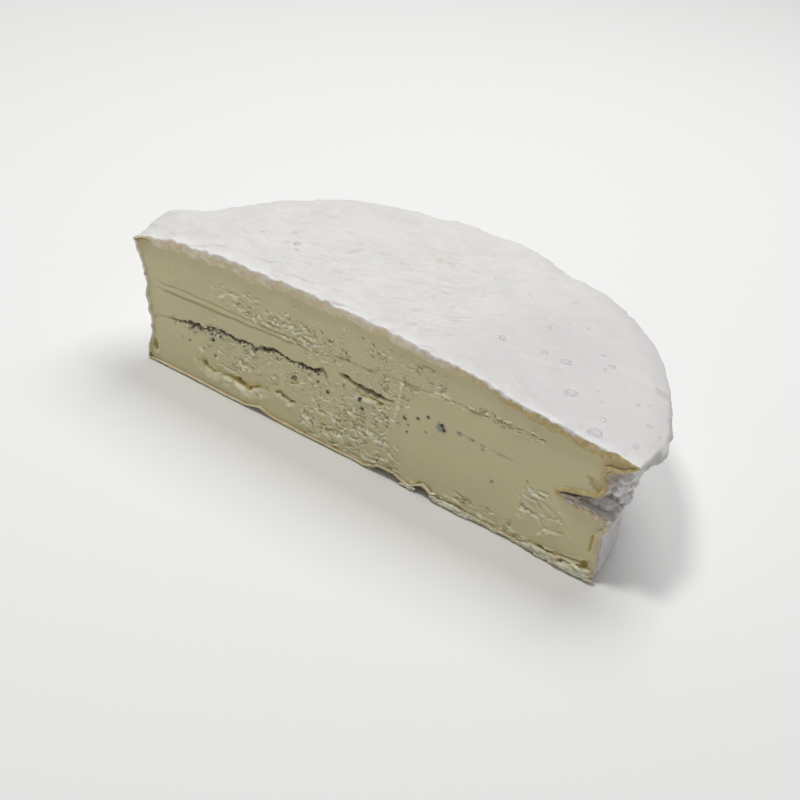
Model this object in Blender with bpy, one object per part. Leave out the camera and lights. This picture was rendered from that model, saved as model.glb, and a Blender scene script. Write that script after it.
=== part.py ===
"""Half wheel of a bloomy-rind triple-cream cheese with a truffle layer.

Metres, +Z up.  The wheel is cut in half through its axis.  The flat cut
face looks along -Y, the round back is at +Y, and the underside is the plane
z = 0.  The row origin is the middle of the underside's bounding box, and the
wheel's own axis stands at WHEEL_X, WHEEL_Y on the cut plane.

Two solids:
  cheese_body    paste and rind, one soft solid, with the pocket that the
                 truffle layer fills
  truffle_layer  the thin sheet of chopped truffle that was spread between
                 the two paste discs; it shows as a dark line at the cut
"""
import math

import bmesh
import bpy
from mathutils import Vector

MM = 0.001

# ---------------------------------------------------------------- sizes, mm
WHEEL_X = 1.05           # wheel axis in the row frame
WHEEL_Y = -33.36
HEIGHT = 35.2            # at the wheel's axis
DOME = 0.00111           # the top falls by DOME * r^2
LEAN = 0.025             # and leans down towards +X
TOP_RADIUS = 52.0        # where the top hands over to the shoulder
FOLD_END = 27.0          # degrees from the +X end where the side fold closes
LIP_END = 10.0           # and where the thin lip above it has filled out

# Side profile from the shoulder down to the underside, as (radius, height),
# at four places round the wheel.  Every profile has the same fifteen points:
# shoulder, lip, under the lip, waist, fold (upper edge, root, lower edge),
# belly, and foot.
PROFILES = {
    0.0: [(60.0, 30.9), (64.5, 30.3), (62.4, 28.3), (59.8, 26.0),
          (58.9, 23.0), (58.2, 19.9), (49.6, 16.9), (56.7, 15.8),
          (61.7, 15.0), (61.5, 13.2), (60.4, 11.2), (60.5, 7.5),
          (61.1, 3.7), (60.9, 1.0), (60.0, 0.0)],
    26.0: [(60.0, 31.3), (64.4, 30.4), (65.6, 28.3), (65.4, 26.2),
           (64.3, 22.8), (62.9, 19.8), (61.3, 17.5), (60.6, 16.2),
           (60.0, 14.8), (59.7, 13.2), (59.5, 11.2), (59.7, 7.5),
           (60.1, 3.9), (60.0, 1.0), (59.3, 0.0)],
    90.0: [(60.0, 31.6), (64.2, 30.4), (65.7, 28.0), (66.1, 25.0),
           (66.0, 22.0), (65.7, 19.2), (65.2, 17.2), (64.8, 16.0),
           (64.3, 14.6), (63.8, 13.0), (63.0, 11.0), (62.0, 7.5),
           (61.3, 3.9), (60.9, 1.0), (60.0, 0.0)],
    180.0: [(60.0, 31.4), (65.7, 29.5), (65.3, 28.0), (63.6, 25.7),
            (62.4, 22.4), (61.7, 19.2), (61.5, 17.2), (61.5, 16.0),
            (61.0, 14.6), (60.5, 13.0), (59.8, 11.0), (59.8, 7.5),
            (60.1, 3.9), (60.1, 1.0), (59.5, 0.0)],
}
# steps taken between one profile point and the next
STEPS = [2, 2, 2, 1, 1, 1, 2, 2, 2, 1, 1, 1, 1, 1, 1]

# Dents and swellings of the plan outline: (angle, half width, depth in mm)
OUTLINE = [(50.0, 20.0, 0.1), (75.0, 6.0, -2.3), (96.0, 4.0, -1.1),
           (103.0, 26.0, 0.9), (103.0, 3.5, 0.8), (109.0, 3.5, -0.9),
           (128.0, 7.0, 1.2), (146.0, 20.0, 0.9), (168.5, 6.5, 2.1)]
# Rim heights: (angle, half width, rise in mm)
RIM = [(50.0, 22.0, 0.5), (103.0, 24.0, 0.6), (138.0, 22.0, 1.0),
       (169.5, 6.5, 2.1)]

# Truffle layer: a wavy sheet, off the wheel's centre by LAYER_X
LAYER_X = -6.5
LAYER_R = 48.5
LAYER_T = 1.2            # thickness
LAYER_EDGE_T = 0.7       # thickness at its round edge
GAP = 0.3                # to the paste all round
# height of the sheet's middle along the cut, (x, z)
LAYER_LINE = [(-58.0, 11.6), (-50.0, 14.0), (-40.0, 15.8), (-30.0, 16.4),
              (-16.0, 17.3), (-4.0, 19.2), (9.0, 19.3), (24.0, 18.8),
              (44.0, 18.6)]

TOP_RINGS = 9
COLUMNS_FOLD = 15        # columns between the +X end and FOLD_END
COLUMNS_REST = 54


# ------------------------------------------------------------------ helpers
def smooth(t):
    t = max(0.0, min(1.0, t))
    return t * t * (3.0 - 2.0 * t)


def bump(x, centre, width):
    return math.exp(-((x - centre) / width) ** 2)


def through(points, x):
    """Smooth curve z(x) through (x, z) points (monotone cubic)."""
    n = len(points)
    if x <= points[0][0]:
        return points[0][1]
    if x >= points[-1][0]:
        return points[-1][1]
    slopes = [(points[i + 1][1] - points[i][1]) /
              (points[i + 1][0] - points[i][0]) for i in range(n - 1)]
    tang = [slopes[0]] + [
        0.0 if slopes[i - 1] * slopes[i] <= 0
        else 2 * slopes[i - 1] * slopes[i] / (slopes[i - 1] + slopes[i])
        for i in range(1, n - 1)] + [slopes[-1]]
    for i in range(n - 1):
        x0, z0 = points[i]
        x1, z1 = points[i + 1]
        if x <= x1:
            h = x1 - x0
            t = (x - x0) / h
            return ((1 + 2 * t) * (1 - t) ** 2 * z0
                    + t * (1 - t) ** 2 * h * tang[i]
                    + t * t * (3 - 2 * t) * z1
                    + t * t * (t - 1) * h * tang[i + 1])
    return points[-1][1]


# ------------------------------------------------------------- outer surface
def outline(angle):
    return sum(a * bump(angle, c, w) for c, w, a in OUTLINE)


def rim_rise(angle):
    return sum(a * bump(angle, c, w) for c, w, a in RIM)


def top_height(x, y):
    """The domed, faintly uneven top inside TOP_RADIUS (mm)."""
    r2 = x * x + y * y
    z = HEIGHT - DOME * r2 - LEAN * x
    z += 0.22 * math.sin(0.115 * x + 0.9) * math.sin(0.13 * y + 0.4)
    z += 0.10 * math.sin(0.31 * x - 0.17 * y)
    return z


def profile_keys(angle):
    """The fifteen profile points at an angle, blended between stations."""
    stations = sorted(PROFILES)
    for a, b in zip(stations, stations[1:]):
        if angle <= b:
            keys = []
            for i, (p, q) in enumerate(zip(PROFILES[a], PROFILES[b])):
                t = smooth((angle - a) / (b - a))
                if a == 0.0:                   # the lip fills out first
                    t = smooth(angle / (LIP_END if i < 4 else FOLD_END))
                keys.append(((1 - t) * p[0] + t * q[0],
                             (1 - t) * p[1] + t * q[1]))
            break
    swell = outline(angle)
    rise = rim_rise(angle)
    out = []
    for i, (r, z) in enumerate(keys):
        share = 0.35 + 0.65 * smooth(z / 26.0)
        out.append((r + swell * share,
                    z + rise * (1.0 if i < 3 else 0.0)))
    return out


def profile(angle):
    """Points from the top's centre, over the rim, to the foot, (r, z)."""
    c, s = math.cos(math.radians(angle)), math.sin(math.radians(angle))
    pts = []
    for k in range(TOP_RINGS + 1):
        r = TOP_RADIUS * (k / TOP_RINGS) ** 0.9
        pts.append((r, top_height(r * c, r * s)))
    inner = pts[-2]
    keys = [pts[-1]] + profile_keys(angle)
    full = [inner] + keys + [(keys[-1][0] - 1.0, keys[-1][1])]
    for i in range(1, len(full) - 2):
        p0, p1, p2, p3 = full[i - 1], full[i], full[i + 1], full[i + 2]
        n = STEPS[i - 1]
        for k in range(1, n + 1):
            t = k / n
            out = []
            for a in (0, 1):
                m1 = 0.5 * (p2[a] - p0[a])
                m2 = 0.5 * (p3[a] - p1[a])
                lim = 1.2 * abs(p2[a] - p1[a])
                m1 = max(-lim, min(lim, m1))
                m2 = max(-lim, min(lim, m2))
                out.append((1 + 2 * t) * (1 - t) ** 2 * p1[a]
                           + t * (1 - t) ** 2 * m1
                           + t * t * (3 - 2 * t) * p2[a]
                           + t * t * (t - 1) * m2)
            pts.append(tuple(out))
    pts[-1] = (pts[-1][0], 0.0)
    return pts


def columns():
    first = [FOLD_END * i / COLUMNS_FOLD for i in range(COLUMNS_FOLD)]
    rest = [FOLD_END + (180.0 - FOLD_END) * i / COLUMNS_REST
            for i in range(COLUMNS_REST + 1)]
    return first + rest


# ------------------------------------------------------------------ objects
def material(name, colour, roughness):
    m = bpy.data.materials.new(name)
    m.use_nodes = True
    b = m.node_tree.nodes["Principled BSDF"]
    b.inputs["Base Color"].default_value = (*colour, 1.0)
    b.inputs["Roughness"].default_value = roughness
    b.inputs["Metallic"].default_value = 0.0
    m.diffuse_color = (*colour, 1.0)
    return m


def add_object(name, bm, mat):
    bmesh.ops.recalc_face_normals(bm, faces=bm.faces)
    me = bpy.data.meshes.new(name)
    bm.to_mesh(me)
    bm.free()
    me.shade_smooth()
    me.set_sharp_from_angle(angle=math.radians(40))
    ob = bpy.data.objects.new(name, me)
    bpy.context.scene.collection.objects.link(ob)
    if mat:
        me.materials.append(mat)
    return ob


def cheese_mesh():
    """Half wheel: rings of the outer surface, the flat foot and the cut."""
    bm = bmesh.new()
    place = lambda x, y, z: bm.verts.new(
        ((x + WHEEL_X) * MM, (y + WHEEL_Y) * MM, z * MM))
    centre = place(0.0, 0.0, top_height(0.0, 0.0))
    grid = []
    for angle in columns():
        c, s = math.cos(math.radians(angle)), math.sin(math.radians(angle))
        if angle in (0.0, 180.0):
            s = 0.0
        grid.append([place(r * c, r * s, z) for r, z in profile(angle)[1:]])
    for a, b in zip(grid, grid[1:]):
        bm.faces.new((centre, a[0], b[0]))
        for k in range(len(a) - 1):
            bm.faces.new((a[k], a[k + 1], b[k + 1], b[k]))
    bm.faces.new([col[-1] for col in grid])                       # foot
    bm.faces.new([centre] + grid[-1] + list(reversed(grid[0])))   # cut
    return bm


def layer_height(x, y):
    """Middle of the truffle sheet: wavy at the cut, calmer further in."""
    calm = 0.6 * smooth(y / 40.0)
    ripple = 0.35 * math.sin(0.33 * x + 0.21 * y)
    return ((1 - calm) * through(LAYER_LINE, x) + calm * 17.2
            + ripple * smooth(y / 8.0))


def layer_mesh(grow, front):
    """The sheet, grown by `grow` all round and run out by `front` past the
    cut (both mm).  Round plan, thinner at its edge."""
    bm = bmesh.new()
    rings, spokes = 8, 26
    top, low = [], []

    def place(x, y, z):
        return bm.verts.new(((x + WHEEL_X) * MM, (y + WHEEL_Y) * MM, z * MM))

    def pair(x, y, k):
        t = 0.5 * (LAYER_T + (LAYER_EDGE_T - LAYER_T) * (k / rings) ** 3)
        z = layer_height(x, y)
        return place(x, y, z + t + grow), place(x, y, z - t - grow)

    for j in range(spokes + 1):
        a = math.pi * j / spokes
        wob = 1.0 + 0.018 * math.sin(5.0 * a + 0.6) + 0.010 * math.sin(11 * a)
        ct, cl = [], []
        for k in range(1, rings + 1):
            r = (LAYER_R * wob + grow) * k / rings
            y = 0.0 if j in (0, spokes) else r * math.sin(a)
            p, q = pair(LAYER_X + r * math.cos(a), y, k)
            ct.append(p)
            cl.append(q)
        top.append(ct)
        low.append(cl)
    ct, cl = pair(LAYER_X, 0.0, 0)
    for a, b in zip(range(spokes), range(1, spokes + 1)):
        bm.faces.new((ct, top[a][0], top[b][0]))
        bm.faces.new((cl, low[b][0], low[a][0]))
        for k in range(rings - 1):
            bm.faces.new((top[a][k], top[a][k + 1], top[b][k + 1], top[b][k]))
            bm.faces.new((low[a][k], low[b][k], low[b][k + 1], low[a][k + 1]))
        bm.faces.new((top[a][-1], low[a][-1], low[b][-1], top[b][-1]))
    edge_t = list(reversed(top[-1])) + [ct] + top[0]      # along the cut
    edge_l = list(reversed(low[-1])) + [cl] + low[0]
    if front > 0.0:
        out_t = [bm.verts.new(v.co - Vector((0, front * MM, 0)))
                 for v in edge_t]
        out_l = [bm.verts.new(v.co - Vector((0, front * MM, 0)))
                 for v in edge_l]
        for i in range(len(edge_t) - 1):
            bm.faces.new((edge_t[i], edge_t[i + 1], out_t[i + 1], out_t[i]))
            bm.faces.new((edge_l[i], out_l[i], out_l[i + 1], edge_l[i + 1]))
        bm.faces.new((edge_t[0], out_t[0], out_l[0], edge_l[0]))
        bm.faces.new((edge_t[-1], edge_l[-1], out_l[-1], out_t[-1]))
        edge_t, edge_l = out_t, out_l
    for i in range(len(edge_t) - 1):
        bm.faces.new((edge_t[i], edge_l[i], edge_l[i + 1], edge_t[i + 1]))
    return bm


def main():
    for ob in list(bpy.data.objects):
        bpy.data.objects.remove(ob, do_unlink=True)

    paste = material("paste_and_rind", (0.86, 0.80, 0.62), 0.55)
    truffle = material("truffle", (0.035, 0.026, 0.020), 0.75)

    body = add_object("cheese_body", cheese_mesh(), paste)
    add_object("truffle_layer", layer_mesh(0.0, 0.0), truffle)

    pocket = add_object("truffle_pocket", layer_mesh(GAP, 4.0), None)
    pocket.hide_render = True
    pocket.display_type = 'WIRE'
    cut = body.modifiers.new("pocket", 'BOOLEAN')
    cut.operation = 'DIFFERENCE'
    cut.solver = 'EXACT'
    cut.object = pocket


main()
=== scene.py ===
# Half wheel of bloomy-rind triple-cream cheese with a truffle layer: looks.
import math

import bmesh
import bpy
import numpy as np
from mathutils import Matrix, Vector


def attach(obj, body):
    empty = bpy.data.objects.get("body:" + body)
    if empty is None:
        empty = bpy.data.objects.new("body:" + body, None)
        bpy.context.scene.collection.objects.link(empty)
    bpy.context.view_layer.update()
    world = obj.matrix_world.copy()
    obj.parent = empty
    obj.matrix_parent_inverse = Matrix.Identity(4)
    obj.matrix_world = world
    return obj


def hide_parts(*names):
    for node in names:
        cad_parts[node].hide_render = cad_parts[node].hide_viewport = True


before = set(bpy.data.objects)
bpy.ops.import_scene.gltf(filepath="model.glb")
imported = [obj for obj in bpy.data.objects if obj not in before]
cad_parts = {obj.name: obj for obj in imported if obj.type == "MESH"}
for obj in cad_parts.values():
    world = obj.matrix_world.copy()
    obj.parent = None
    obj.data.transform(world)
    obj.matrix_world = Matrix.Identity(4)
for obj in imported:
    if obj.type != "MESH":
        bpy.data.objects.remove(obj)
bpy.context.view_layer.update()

MM = 0.001

# ------------------------------------------------------------------ the form
# The same measures as the solids: millimetres, wheel axis at x = y = 0, cut
# face in the plane y = 0, underside at z = 0.
WHEEL_X, WHEEL_Y = 1.05, -33.36
HEIGHT, DOME, LEAN = 35.2, 0.00111, 0.025
TOP_RADIUS = 52.0
FOLD_END, LIP_END = 27.0, 10.0
PROFILES = {
    0.0: [(60.0, 30.9), (64.5, 30.3), (62.4, 28.3), (59.8, 26.0),
          (58.9, 23.0), (58.2, 19.9), (49.6, 16.9), (56.7, 15.8),
          (61.7, 15.0), (61.5, 13.2), (60.4, 11.2), (60.5, 7.5),
          (61.1, 3.7), (60.9, 1.0), (60.0, 0.0)],
    26.0: [(60.0, 31.3), (64.4, 30.4), (65.6, 28.3), (65.4, 26.2),
           (64.3, 22.8), (62.9, 19.8), (61.3, 17.5), (60.6, 16.2),
           (60.0, 14.8), (59.7, 13.2), (59.5, 11.2), (59.7, 7.5),
           (60.1, 3.9), (60.0, 1.0), (59.3, 0.0)],
    90.0: [(60.0, 31.6), (64.2, 30.4), (65.7, 28.0), (66.1, 25.0),
           (66.0, 22.0), (65.7, 19.2), (65.2, 17.2), (64.8, 16.0),
           (64.3, 14.6), (63.8, 13.0), (63.0, 11.0), (62.0, 7.5),
           (61.3, 3.9), (60.9, 1.0), (60.0, 0.0)],
    180.0: [(60.0, 31.4), (65.7, 29.5), (65.3, 28.0), (63.6, 25.7),
            (62.4, 22.4), (61.7, 19.2), (61.5, 17.2), (61.5, 16.0),
            (61.0, 14.6), (60.5, 13.0), (59.8, 11.0), (59.8, 7.5),
            (60.1, 3.9), (60.1, 1.0), (59.5, 0.0)],
}
OUTLINE = [(50.0, 20.0, 0.1), (75.0, 6.0, -2.3), (96.0, 4.0, -1.1),
           (103.0, 26.0, 0.9), (103.0, 3.5, 0.8), (109.0, 3.5, -0.9),
           (128.0, 7.0, 1.2), (146.0, 20.0, 0.9), (168.5, 6.5, 2.1)]
RIM = [(50.0, 22.0, 0.5), (103.0, 24.0, 0.6), (138.0, 22.0, 1.0),
       (169.5, 6.5, 2.1)]
LAYER_X, LAYER_R = -6.5, 48.5

# columns round the wheel and rows from the top's centre over the rim and
# under to the foot's centre
NJ = 312
NTOP = 136
STEPS = [14, 9, 6, 7, 9, 8, 12, 12, 6, 5, 6, 8, 8, 6, 4]
NB = 16
NR = NTOP + sum(STEPS) + NB
CJ, CI = 6, 8            # one coarse cell of the hidden inner skin
assert NJ % CJ == 0 and NR % CI == 0


seg_start = NTOP + np.concatenate([[0], np.cumsum(STEPS)])


def smooth(t):
    t = np.clip(t, 0.0, 1.0)
    return t * t * (3.0 - 2.0 * t)


def gauss(x, c, w):
    return np.exp(-((x - c) / w) ** 2)


# -------------------------------------------------------------------- noise
def _hash(ix, iy, iz, seed):
    n = (ix * 374761393 + iy * 668265263 + iz * 1103515245
         + seed * 144269504 + 12345) & 0xFFFFFFFF
    n = ((n ^ (n >> 13)) * 1274126177) & 0xFFFFFFFF
    n = ((n ^ (n >> 15)) * 2246822519) & 0xFFFFFFFF
    n = n ^ (n >> 16)
    return n / 4294967295.0 * 2.0 - 1.0


def noise(x, y, z=0.0, seed=0):
    """Smooth lattice noise in about -1..1."""
    x, y, z = np.broadcast_arrays(np.asarray(x, float), np.asarray(y, float),
                                  np.asarray(z, float))
    ix, iy, iz = (np.floor(v).astype(np.int64) for v in (x, y, z))
    fx, fy, fz = x - ix, y - iy, z - iz
    ux, uy, uz = (f * f * f * (f * (f * 6 - 15) + 10) for f in (fx, fy, fz))
    out = 0.0
    for a in (0, 1):
        wa = ux if a else 1 - ux
        for b in (0, 1):
            wb = uy if b else 1 - uy
            for c in (0, 1):
                wc = uz if c else 1 - uz
                out = out + wa * wb * wc * _hash(ix + a, iy + b, iz + c, seed)
    return out


def fbm(x, y, z=0.0, seed=0, octaves=4, gain=0.5):
    s, a, f = 0.0, 1.0, 1.0
    for o in range(octaves):
        s = s + a * noise(x * f + 17.3 * o, y * f - 5.1 * o,
                          np.asarray(z) * f + 3.7 * o, seed + o)
        a *= gain
        f *= 2.03
    return s


def ridged(x, y, z=0.0, seed=0, octaves=3, gain=0.5):
    s, a, f = 0.0, 1.0, 1.0
    for o in range(octaves):
        s = s + a * (1.0 - 2.0 * np.abs(noise(x * f + 9.2 * o, y * f + 4.4 * o,
                                              np.asarray(z) * f, seed + o)))
        a *= gain
        f *= 2.1
    return s


# ------------------------------------------------------------ outer surface
def top_height(x, y):
    z = HEIGHT - DOME * (x * x + y * y) - LEAN * x
    z = z + 0.22 * np.sin(0.115 * x + 0.9) * np.sin(0.13 * y + 0.4)
    return z + 0.10 * np.sin(0.31 * x - 0.17 * y)


def profile_keys(angle):
    stations = sorted(PROFILES)
    for a, b in zip(stations, stations[1:]):
        if angle <= b:
            keys = []
            for i, (p, q) in enumerate(zip(PROFILES[a], PROFILES[b])):
                t = float(smooth((angle - a) / (b - a)))
                if a == 0.0:
                    t = float(smooth(angle / (LIP_END if i < 4 else FOLD_END)))
                keys.append(((1 - t) * p[0] + t * q[0],
                             (1 - t) * p[1] + t * q[1]))
            break
    swell = sum(a * math.exp(-((angle - c) / w) ** 2) for c, w, a in OUTLINE)
    rise = sum(a * math.exp(-((angle - c) / w) ** 2) for c, w, a in RIM)
    return [(r + swell * (0.35 + 0.65 * float(smooth(z / 26.0))),
             z + (rise if i < 3 else 0.0)) for i, (r, z) in enumerate(keys)]


def profile(angle):
    c, s = math.cos(math.radians(angle)), math.sin(math.radians(angle))
    rr = TOP_RADIUS * (np.arange(NTOP + 1) / NTOP) ** 0.9
    zz = top_height(rr * c, rr * s)
    pts = [np.stack([rr, zz], 1)]
    before = TOP_RADIUS * (8 / 9) ** 0.9
    keys = [(rr[-1], zz[-1])] + profile_keys(angle)
    full = ([(before, float(top_height(before * c, before * s)))] + keys
            + [(keys[-1][0] - 1.0, keys[-1][1])])
    full = np.array(full)
    for i in range(1, len(full) - 2):
        p0, p1, p2, p3 = full[i - 1:i + 3]
        lim = 1.2 * np.abs(p2 - p1)
        m1 = np.clip(0.5 * (p2 - p0), -lim, lim)
        m2 = np.clip(0.5 * (p3 - p1), -lim, lim)
        t = (np.arange(1, STEPS[i - 1] + 1) / STEPS[i - 1])[:, None]
        pts.append((1 + 2 * t) * (1 - t) ** 2 * p1 + t * (1 - t) ** 2 * m1
                   + t * t * (3 - 2 * t) * p2 + t * t * (t - 1) * m2)
    pts = np.concatenate(pts)
    pts[:, 1] = np.maximum(pts[:, 1], 0.0)
    foot = pts[-1].copy()
    base = np.stack([foot[0] * (1 - np.arange(1, NB + 1) / NB),
                     np.zeros(NB)], 1)
    return np.concatenate([pts, base])


s_ = np.arange(NJ + 1) / NJ
ANGLES = 180.0 * (s_ - 0.34 / (2 * math.pi) * np.sin(2 * math.pi * s_))
RZ = np.stack([profile(a) for a in ANGLES])            # (NJ+1, NR+1, 2)
W0, W1 = NTOP - 38, NTOP + 15
for _ in range(150):
    k_ = np.arange(W0, W1)
    w_ = smooth((k_ - W0) / 10.0) * smooth((W1 - 1 - k_) / 6.0)
    avg_ = 0.5 * (RZ[:, W0 - 1:W1 - 1] + RZ[:, W0 + 1:W1 + 1])
    RZ[:, W0:W1] += 0.8 * w_[None, :, None] * (avg_ - RZ[:, W0:W1])
TH = np.radians(ANGLES)[:, None]
BASE = np.stack([RZ[..., 0] * np.cos(TH), RZ[..., 0] * np.sin(TH),
                 RZ[..., 1]], -1)
BASE[0, :, 1] = 0.0
BASE[-1, :, 1] = 0.0


def grid_normals(P):
    du = np.gradient(P, axis=0)
    dv = np.gradient(P, axis=1)
    n = np.cross(dv, du)
    n /= np.maximum(np.linalg.norm(n, axis=-1, keepdims=True), 1e-12)
    # point outwards
    ref = P - np.array([0.0, 20.0, 16.0])
    sign = np.sign(np.sum(n * ref, -1, keepdims=True))
    mid = np.sign(np.median(sign))
    n *= mid
    n[:, 0] = (0, 0, 1)
    n[:, -1] = (0, 0, -1)
    n[:, NTOP + sum(STEPS):] = (0, 0, -1)
    n[0, :, 1] = 0.0
    n[-1, :, 1] = 0.0
    n /= np.maximum(np.linalg.norm(n, axis=-1, keepdims=True), 1e-12)
    return n


NORM = grid_normals(BASE)


# chips out of the lower edge of the cut: (x, half width, height in mm)
CHIPS = [(-26.0, 2.2, 1.0), (9.4, 3.8, 1.5), (19.2, 2.5, 2.1)]


def chip_height(x):
    """How far the lower edge of the cut is broken away, in mm."""
    h = 0.0 * x
    for c, w, a in CHIPS:
        h = h + a * np.clip(1.25 - np.abs((x - c) / w) ** 3, 0, 1)
    h = h + 0.12 * (noise(x / 1.1, 3.3, seed=70) + 1) * smooth((x - 10) / 8)
    return h


# --------------------------------------------------------------------- rind
# image-wise the finest creases of the mould run along this direction
GRAIN = math.radians(24.0)


def rind_relief():
    x, y, z = BASE[..., 0], BASE[..., 1], BASE[..., 2]
    up = NORM[..., 2]
    top = smooth((up - 0.35) / 0.5)
    under = smooth((-up - 0.6) / 0.3)
    side = np.clip(1 - top - under, 0, 1)
    p = x * math.cos(GRAIN) + y * math.sin(GRAIN)
    q = -x * math.sin(GRAIN) + y * math.cos(GRAIN)
    pw = p + 5.0 * noise(x / 11, y / 11, seed=1)
    qw = q + 3.0 * noise(x / 9, y / 9, seed=2) + 1.1 * noise(x / 3.4, y / 3.0,
                                                             seed=3)
    # calmer, wetter mould towards +X; drier and more wrinkled at the back
    wet = smooth((x - 4.0 + 6 * noise(x / 14, y / 14, seed=4)
                  - 0.30 * y) / 24.0)
    dry = 1 - wet
    wr = ridged(pw / 6.0, qw / 2.6, seed=5, octaves=3, gain=0.5)
    patch = smooth(0.6 + 0.9 * noise(x / 10, y / 10, seed=6))
    d_top = (0.26 * wr * (0.22 + 0.78 * dry) * (0.35 + 0.65 * patch)
             + 0.17 * fbm(x / 8, y / 8, seed=8, octaves=2)
             + 0.075 * fbm(pw / 2.6, qw / 1.5, seed=7, octaves=3)
             * (0.5 + 0.5 * dry)
             + 0.035 * fbm(x / 1.1, y / 1.1, seed=9, octaves=3)
             * (0.4 + 0.6 * dry))
    # soft fluff along the cut edge
    edge = np.exp(-y / 2.4)
    d_top += edge * (0.20 + 0.24 * fbm(x / 1.8, y / 1.8, seed=11, octaves=3)
                     + 0.10 * noise(x / 0.7, y / 0.9, seed=10))
    arc = np.radians(ANGLES)[:, None] * 62.0 + 0 * x
    d_side = (0.30 * ridged(arc / 11.0 + 0.5 * noise(arc / 6, z / 6, seed=12),
                            z / 5.2 + 0.45 * noise(arc / 5, z / 5, seed=13),
                            seed=14, octaves=3, gain=0.5)
              + 0.22 * fbm(arc / 6.0, z / 4.0, seed=15, octaves=3)
              + 0.05 * fbm(arc / 1.0, z / 1.0, seed=16, octaves=2))
    d_side -= 0.33
    # keep the fold's own shape near the cut, but crumple its skin
    ang = ANGLES[:, None] + 0 * x
    d_side *= 0.30 + 0.70 * smooth(ang / 16.0)
    d_side += 0.09 * gauss(ang, 0.0, 40.0) * fbm(arc / 1.5, z / 1.3, seed=25,
                                                 octaves=3)
    lane = (np.arange(NR + 1)[None, :] - seg_start[2]) / 7.0
    zone = (smooth((44.0 - ang) / 18.0) * smooth(lane / 1.4)
            * smooth((9.2 - lane) / 1.6) * smooth((RZ[..., 0] - 51.5) / 5.0))
    d_side += zone * (0.85 * ridged(arc / 4.2 + 0.5 * lane, lane / 2.0,
                                    seed=21, octaves=3, gain=0.5) - 0.45
                      + 0.18 * noise(arc / 1.3, lane / 0.8, seed=22))
    billow = (2.1 * np.abs(noise(arc / 4.6 + 0.25 * z, z / 3.1, seed=23))
              + 0.8 * np.abs(noise(arc / 1.9, z / 1.5, seed=24)) - 0.85)
    # the rim hangs fuller beside the +X end of the cut
    d_side += 0.95 * gauss(ang, 13.0, 11.0) * smooth((z - 22.5) / 3.0)
    d = top * d_top + side * d_side
    crumple = (smooth((50.0 - ang) / 18.0) * smooth((ang - 0.5) / 4.0)
               * smooth((lane - 1.6) / 1.2) * smooth((9.4 - lane) / 1.2))
    d += 0.85 * crumple * billow
    # the lower side of the fold swells up towards the upper one
    shelf = (smooth((lane - 5.4) / 1.2) * smooth((8.9 - lane) / 1.1)
             * smooth((ang - 1.2) / 4.5) * smooth((40.0 - ang) / 16.0))
    d += shelf * np.clip(1.15 + 1.7 * noise(arc / 2.7, lane / 1.5, seed=26)
                         + 0.7 * noise(arc / 1.2, lane / 0.8, seed=27),
                         0.0, 2.9)
    straw = np.abs(np.sin(x / 1.55 + 0.6 * noise(x / 8, y / 8, seed=17)))
    weave = smooth(0.5 + 0.8 * noise(x / 5, y / 2.5, seed=18))
    inner = smooth((60.0 - RZ[..., 0]) / 4.0)
    d_under = -(0.06 + 0.32 * straw * weave
                + 0.08 * (fbm(x / 2, y / 2, seed=19, octaves=3) + 1)) * inner
    d += under * d_under * (0.2 + 0.8 * smooth((y - 1.5) / 9.0))
    return d, top, side, under, wet, arc, crumple


REL, W_TOP, W_SIDE, W_UNDER, WET, ARC, CRUMPLE = rind_relief()
OUT = BASE + NORM * REL[..., None]
OUT[0, :, 1] = 0.0
OUT[-1, :, 1] = 0.0
# broken lower edge
near = np.exp(-(OUT[..., 1] / 2.2) ** 2)
low = smooth((4.0 - OUT[..., 2]) / 4.0)
OUT[..., 2] += chip_height(OUT[..., 0]) * near * low \
    * (np.abs(OUT[..., 0]) < 58)
OUT[..., 2] = np.maximum(OUT[..., 2], 0.0)
for c in (0, NR):                                   # one vertex at each pole
    OUT[:, c] = OUT[:, c].mean(0)


def loop_of(G):
    """The closed boundary at the cut: top centre, +X side, foot, -X side."""
    return np.concatenate([G[0, :], G[-1, 1:-1][::-1]])


LOOP = loop_of(OUT)
NL = len(LOOP)


def loop_normals(L, spread=3):
    xz = L[:, [0, 2]]
    t = np.roll(xz, -1, 0) - np.roll(xz, 1, 0)
    t /= np.maximum(np.linalg.norm(t, axis=1, keepdims=True), 1e-9)
    n = np.stack([t[:, 1], -t[:, 0]], 1)
    acc = n.copy()
    for k in range(1, spread + 1):
        acc += np.roll(n, k, 0) + np.roll(n, -k, 0)
    return acc / np.maximum(np.linalg.norm(acc, axis=1, keepdims=True), 1e-9)


LN = loop_normals(loop_of(BASE))
row = np.concatenate([np.arange(NR + 1), np.arange(1, NR)[::-1]])
LEFT = np.arange(NL) > NR
def seg_row(i):
    return seg_start[i]


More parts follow.
